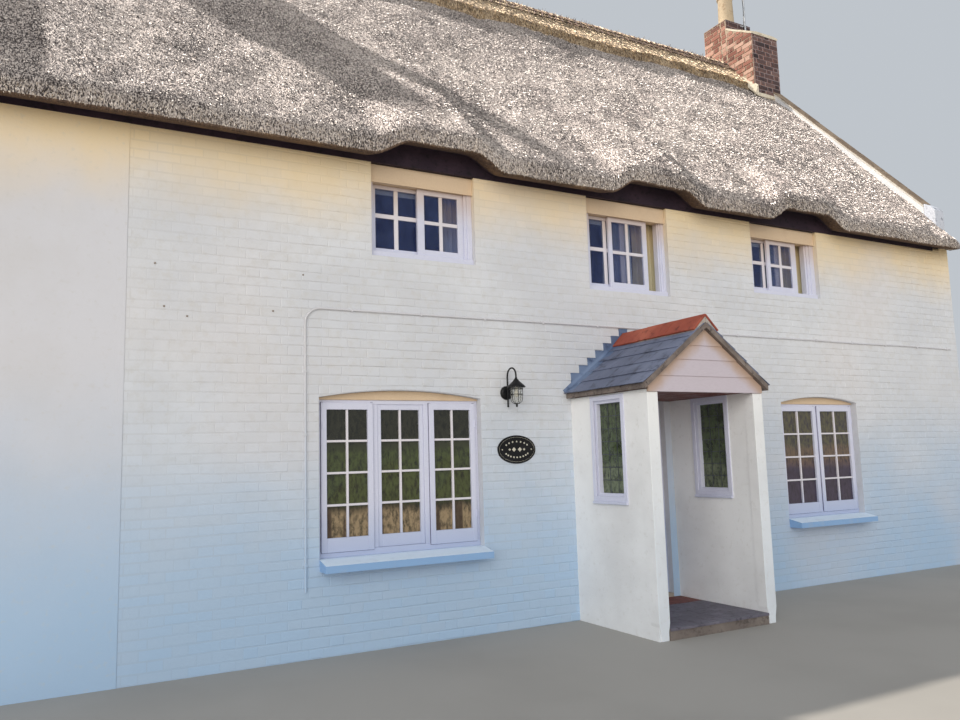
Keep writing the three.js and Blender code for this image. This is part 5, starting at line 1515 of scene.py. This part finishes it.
def add_porch_room():
    for side, which in SIDES:
        middle = DOOR_X + side * (PORCH_INSIDE + PORCH_WALL / 2)

        def place(y, d, z, side=side, middle=middle):
            return middle + side * d, y, z

        frames, panes, cames = Shape(), Shape(), Shape()
        near, far, bottom, top = -0.7497, -0.3403, 1.1103, 1.9677
        stile, half, wide = 0.038, 0.042, 0.032
        frames.frame((near, far), (bottom, top), (-half, half), (stile,) * 4, place)
        for face in (-1, 1):
            trim = (wide + 0.012, wide + 0.012, 0.042, wide + 0.012)
            outside = (near - wide, far + wide), (bottom - wide, top + 0.03)
            frames.frame(*outside, sorted((face * 0.05, face * 0.062)), trim, place)
            a, b = sorted((face * 0.05, face * 0.074))
            frames.box(near - wide, far + wide, a, b, bottom - wide - 0.022, bottom - wide, 0, place)
        name = f"porch_{which}_window"
        frames.make(name + "_frame", M["paint"], slot="window_paint", replaces=[name], bevel=0.002)
        columns, rows = 3, 7
        y0, y1, z0, z1 = near + stile, far - stile, bottom + stile, top - stile
        ys = [y0 + i * ((y1 - y0) / columns) for i in range(columns + 1)]
        zs = [z0 + j * ((z1 - z0) / rows) for j in range(rows + 1)]
        for lights in zip(ys, ys[1:]):
            for heights in zip(zs, zs[1:]):
                add_pane(panes, place, lights, heights, (-0.0015, 0.0015), 0.0012 * rng.standard_normal(4))
        for y in ys[1:-1]:
            cames.box(y - 0.0035, y + 0.0035, -0.004, 0.004, z0, z1, 0, place)
        for z in zs[1:-1]:
            cames.box(y0, y1, -0.0045, 0.0045, z - 0.0035, z + 0.0035, 0, place)
        panes.make(name + "_panes", M["porch glass"])
        cames.make(name + "_leading", M["came"], slot="lead", bevel=0.001)

        post = Shape()
        x0, x1 = sorted(DOOR_X + side * (PORCH_INSIDE + d) for d in (-0.006, PORCH_WALL + 0.006))
        outline = [(x0, 0.14), (x0 + 0.016, 0.06), (x0 + 0.018, GAP), (x1 - 0.018, GAP), (x1 - 0.016, 0.06)]
        outline += [(x1, 0.14), (x1, 1.984), (x0, 1.984)]
        post.prism(outline, along_y, -1.094, -0.985)
        post.make(f"porch_{which}_post", M["porch wash"], slot="whitewash", bevel=0.004)

    left = DOOR_X - PORCH_INSIDE
    soffit = Shape()
    wide = 2 * PORCH_INSIDE / 10
    for i in range(10):
        x = left + i * wide
        soffit.box(x + 0.001, x + wide - 0.001, -1.079, -0.001, 1.994, 2.0083)
    soffit.make("porch_soffit_boards", M["red board"], slot="red_board", bevel=0.003)

    tiles = Shape()
    side = 2 * PORCH_INSIDE / 7
    for i in range(7):
        x0, x1 = left + i * side + 0.0015, left + i * side + side - 0.0015
        for j in range(7):
            y0 = -1.095 + j * side
            y1 = min(y0 + side, -0.001)
            if y1 - y0 > 0.03:
                top = 0.0945 + 0.0006 * rng.standard_normal()
                tiles.box(x0, x1, y0 + 0.0015, y1 - 0.0015, 0.08, top, 1 if j > 4 else 0)
    tiles.box(left + 0.001, DOOR_X + PORCH_INSIDE - 0.001, -1.104, -1.094, 0.074, 0.0945)
    tiles.make("porch_tiles", [M["tile"], M["red tile"]], slot="floor_tile", bevel=0.0012)


add_porch_room()


# Fittings on the front wall
WALL_PLUGS = ((-4.21, 2.973), (-3.104, 2.977), (-3.343, 2.669), (-3.98, 2.591), (-4.142, 2.656))


def add_plaque():
    """An oval plate with a plain ornament of beads and lozenges inside a raised rim."""
    plaque = Shape()
    cx, cz = -1.172, 1.55
    oval = turns(64)
    steps = ((0, 0.0), (0, 0.009), (0.004, 0.0135), (0.011, 0.0143), (0.016, 0.0125), (0.02, 0.011))

    def ring(inset, y):
        return [(cx + (0.197 - inset) * cos, y, cz + (0.126 - inset) * sin) for cos, sin in oval]

    plaque.rings([ring(inset, -out - 0.0003) for inset, out in steps])
    section = ((-0.0018, -0.0126), (0.0018, -0.0126), (0, -0.0102))
    line = [[(cx + (0.181 + t) * cos, y, cz + (0.11 + t) * sin) for t, y in section] for cos, sin in oval]
    plaque.rings(line, 1, closed=True)
    for x in (cx - 0.15, cx + 0.15):
        plaque.lathe([(0.006, 0), (0.006, 0.002), (0.003, 0.0035)], outward(x, -0.011, cz), 12, 1)
    bead = [(0.0085, 0), (0.0075, 0.0014), (0.002, 0.0022)]
    for count, first, last in ((7, 145, 35), (9, 212, 328)):
        for a in np.radians(np.linspace(first, last, count)):
            plaque.lathe(bead, outward(cx + 0.132 * math.cos(a), -0.0109, cz + 0.07 * math.sin(a)), 8, 1)
    for x, reach in ((cx - 0.075, 0.012), (cx - 0.03, 0.02), (cx + 0.03, 0.02), (cx + 0.075, 0.012)):
        lozenge = [(x - reach, cz), (x, cz + reach), (x + reach, cz), (x, cz - reach)]
        plaque.prism(lozenge, along_y, -0.0128, -0.0105, 1)
    plaque.make("plaque", [M["iron"], M["rim"]], slot="iron", replaces=["oval_plaque"], smooth=40)


def add_lantern():
    arm = Shape()
    x, y, top = -1.258, -0.18, 2.178
    plate = [(0.062, 0.0003), (0.062, 0.012), (0.056, 0.02), (0.04, 0.026), (0.02, 0.028)]
    arm.lathe(plate, outward(x, 0, 2.054), 32)
    neck = [(x, -0.03, z) for z in (1.932, 1.95, 2.0, 2.054, 2.1, 2.15)]
    for a in np.linspace(0, math.pi, 17):
        neck.append((x, -0.105 + 0.075 * math.cos(a), 2.195 + 0.073 * math.sin(a)))
    arm.tube([*neck, (x, y, 2.185), (x, y, top)], 0.0075, 12)
    arm.tube([(x, -0.03, z) for z in (1.925, 1.932, 1.94)], [0.004, 0.0105, 0.0075], 12)
    arm.make("lantern_arm", M["iron"], slot="iron", replaces=["lantern_bracket"], smooth=40)

    body = Shape()
    place = upright(x, y, top)
    roof = [(0.052, -0.09), (0.08, -0.09), (0.081, -0.085), (0.079, -0.079), (0.056, -0.058)]
    roof += [(0.034, -0.038), (0.024, -0.026), (0.013, -0.012), (0.0105, -0.006), (0.009, -0.0003)]
    body.lathe(roof, place, 32)
    rib = [(0.054, -0.088), (0.0555, -0.12), (0.055, -0.16), (0.053, -0.19)]
    rib += [(0.045, -0.215), (0.026, -0.23), (0.012, -0.234)]
    for cos, sin in turns(6, 0.3):
        body.tube([place(r * cos, r * sin, h) for r, h in rib], 0.0024, 6)
    for r, h in ((0.057, -0.104), (0.0555, -0.152)):
        hoop = ((-0.0015, -0.0025), (0.0025, -0.0025), (0.0025, 0.0025), (-0.0015, 0.0025))
        ring = [[place((r + dr) * cos, (r + dr) * sin, h + dh) for dr, dh in hoop] for cos, sin in turns(32)]
        body.rings(ring, closed=True)
    finial = [(0.002, -0.263), (0.008, -0.258), (0.0095, -0.25)]
    finial += [(0.007, -0.242), (0.014, -0.236), (0.013, -0.229)]
    body.lathe(finial, place, 16)
    body.make("lantern_cage", M["iron"], slot="iron", replaces=["lantern"], smooth=40)
    shade = [(0.008, -0.229), (0.024, -0.226), (0.042, -0.212)]
    shade += [(0.05, -0.188), (0.052, -0.16), (0.0525, -0.12), (0.051, -0.09)]
    glass, lamp = Shape(), Shape()
    glass.lathe(shade + [(r - 0.002, h + 0.001) for r, h in shade[::-1]], place, 32, closed=True)
    glass.make("lantern_shade", M["clear glass"], smooth=60)
    bulb = [(0.013, -0.09), (0.013, -0.12), (0.02, -0.135), (0.022, -0.15), (0.016, -0.168), (0.004, -0.175)]
    lamp.lathe(bulb, place, 20)
    lamp.make("lantern_lamp", M["rim"], smooth=50)


def add_conduit():
    conduit = Shape()
    left, right, z, bend, y = -3.09, 5.45, 2.715, 0.13, -0.0093
    path = [(left, y, h) for h in np.linspace(0.5, z - bend, 30)]
    for a in math.pi - math.pi / 2 * np.arange(1, 8) / 8:
        path.append((left + bend + bend * math.cos(a), y, z - bend + bend * math.sin(a)))
    path += [(h, y, z + 0.0035 * float(wave(h * 1.1, 0, 8))) for h in np.linspace(left + bend, right, 70)]
    conduit.tube(path, 0.009, 10)
    clips = [(left, h, 0.014, 0.006) for h in (0.7, 1.2, 1.7, 2.2)]
    clips += [(h, z, 0.006, 0.014) for h in np.arange(-2.7, 5.4, 0.62)]
    for px, pz, wide, high in clips:
        conduit.box(px - wide, px + wide, -0.0195, -GAP, pz - high, pz + high)
    conduit.make("conduit", M["render"], slot="whitewash", replaces=["wall_conduit"], smooth=40)

    plugs = Shape()
    for x, z in WALL_PLUGS:
        profile = [(0.008, 0.001), (0.0075, 0.005), (0.004, 0.0065), (0.0015, 0.0065)]
        plugs.lathe(profile, outward(x, 0, z), 10)
    plugs.make("wall_fixings", M["plug"], slot="iron", smooth=40)


add_plaque()
add_lantern()
add_conduit()


# CAD nodes that are shown as they are
KEPT = {
    "joint": [
        "front_wall_left", "front_wall_right", "front_wall_over_door", "rear_wall", "right_gable_wall",
        "left_gable_wall",
    ],
    "porch wash": ["porch_left_wall", "porch_right_wall"],
    "floor stone": ["ground_floor"],
    "floor wood": ["upper_floor"],
    "dark boards and painted eaves shade": ["front_eaves_board", "rear_eaves_board"],
    "mortar": ["right_chimney_stack", "left_chimney_stack"],
    "sill": ["ground_sill_left", "ground_sill_right"],
    "paint": ["door_frame"],
    "step": ["porch_floor"],
    "red board": ["porch_ceiling"],
    "verge": ["porch_roof_left", "porch_roof_right"],
}
for finish, names in KEPT.items():
    for name in names:
        node = frame["nodes"][name]
        node.data.materials.clear()
        node.data.materials.append(M[finish])
        if finish in ("sill", "paint", "step"):
            add_bevel(node, 0.004)


# Floor and light
def add_stage():
    f = Finish("studio floor", roughness=0.95)
    f.put("Base Color", f.mix(f.band(f.noise(0.6, 3), 0.4, 0.7), "aaa6a0", "a39f99"))
    corners = [(x, y, z) for x in (-90, 90) for y in (-90, 90) for z in (-0.3, -GAP)]
    mesh = bpy.data.meshes.new("floor")
    mesh.from_pydata(corners, [], BOX)
    mesh.materials.append(f.material)
    plane = bpy.data.objects.new("floor", mesh)
    bpy.context.scene.collection.objects.link(plane)

    world = bpy.data.worlds.new("studio")
    bpy.context.scene.world = world
    world.use_nodes = True
    sky = world.node_tree.nodes["Background"]
    sky.inputs[0].default_value = (0.87, 0.93, 1.0, 1)
    sky.inputs[1].default_value = 0.6
    # The sun shines as the shadows in the photograph fall, and a soft light fills in from the
    # street. The sun only grazes the front slope, so slope and ridge get a second one of their own.
    # It falls squarely on the left gable, which the fill leaves out.
    front_slope = bpy.data.collections.new("front_slope")
    filled = bpy.data.collections.new("filled")
    for piece in bpy.data.objects:
        if piece.name.startswith(("thatch_front_", "ridge_")):
            front_slope.objects.link(piece)
        if not piece.name.startswith("left_gable"):
            filled.objects.link(piece)
    for name, energy, angle, colour, towards in (
        ("sun", 3.8, 1, (1.0, 0.93, 0.83), (0.605, -0.433, -0.668)),
        ("slope sun", 14.5, 1, (1.0, 0.95, 0.91), (0.605, -0.433, -0.668)),
        ("fill", 1.95, 60, (1.0, 0.96, 0.9), (0.6, 0.78, -0.12)),
    ):
        lamp = bpy.data.lights.new(name, "SUN")
        lamp.energy, lamp.angle, lamp.color = energy, math.radians(angle), colour
        light = bpy.data.objects.new(name, lamp)
        light.rotation_euler = Vector(towards).to_track_quat("-Z", "Y").to_euler()
        bpy.context.scene.collection.objects.link(light)
        if name == "slope sun":
            light.light_linking.receiver_collection = front_slope
        elif name == "fill":
            light.light_linking.receiver_collection = filled
    view = bpy.context.scene.view_settings
    view.view_transform = "Standard"
    view.look = "None"
    view.exposure = 0.0


add_stage()
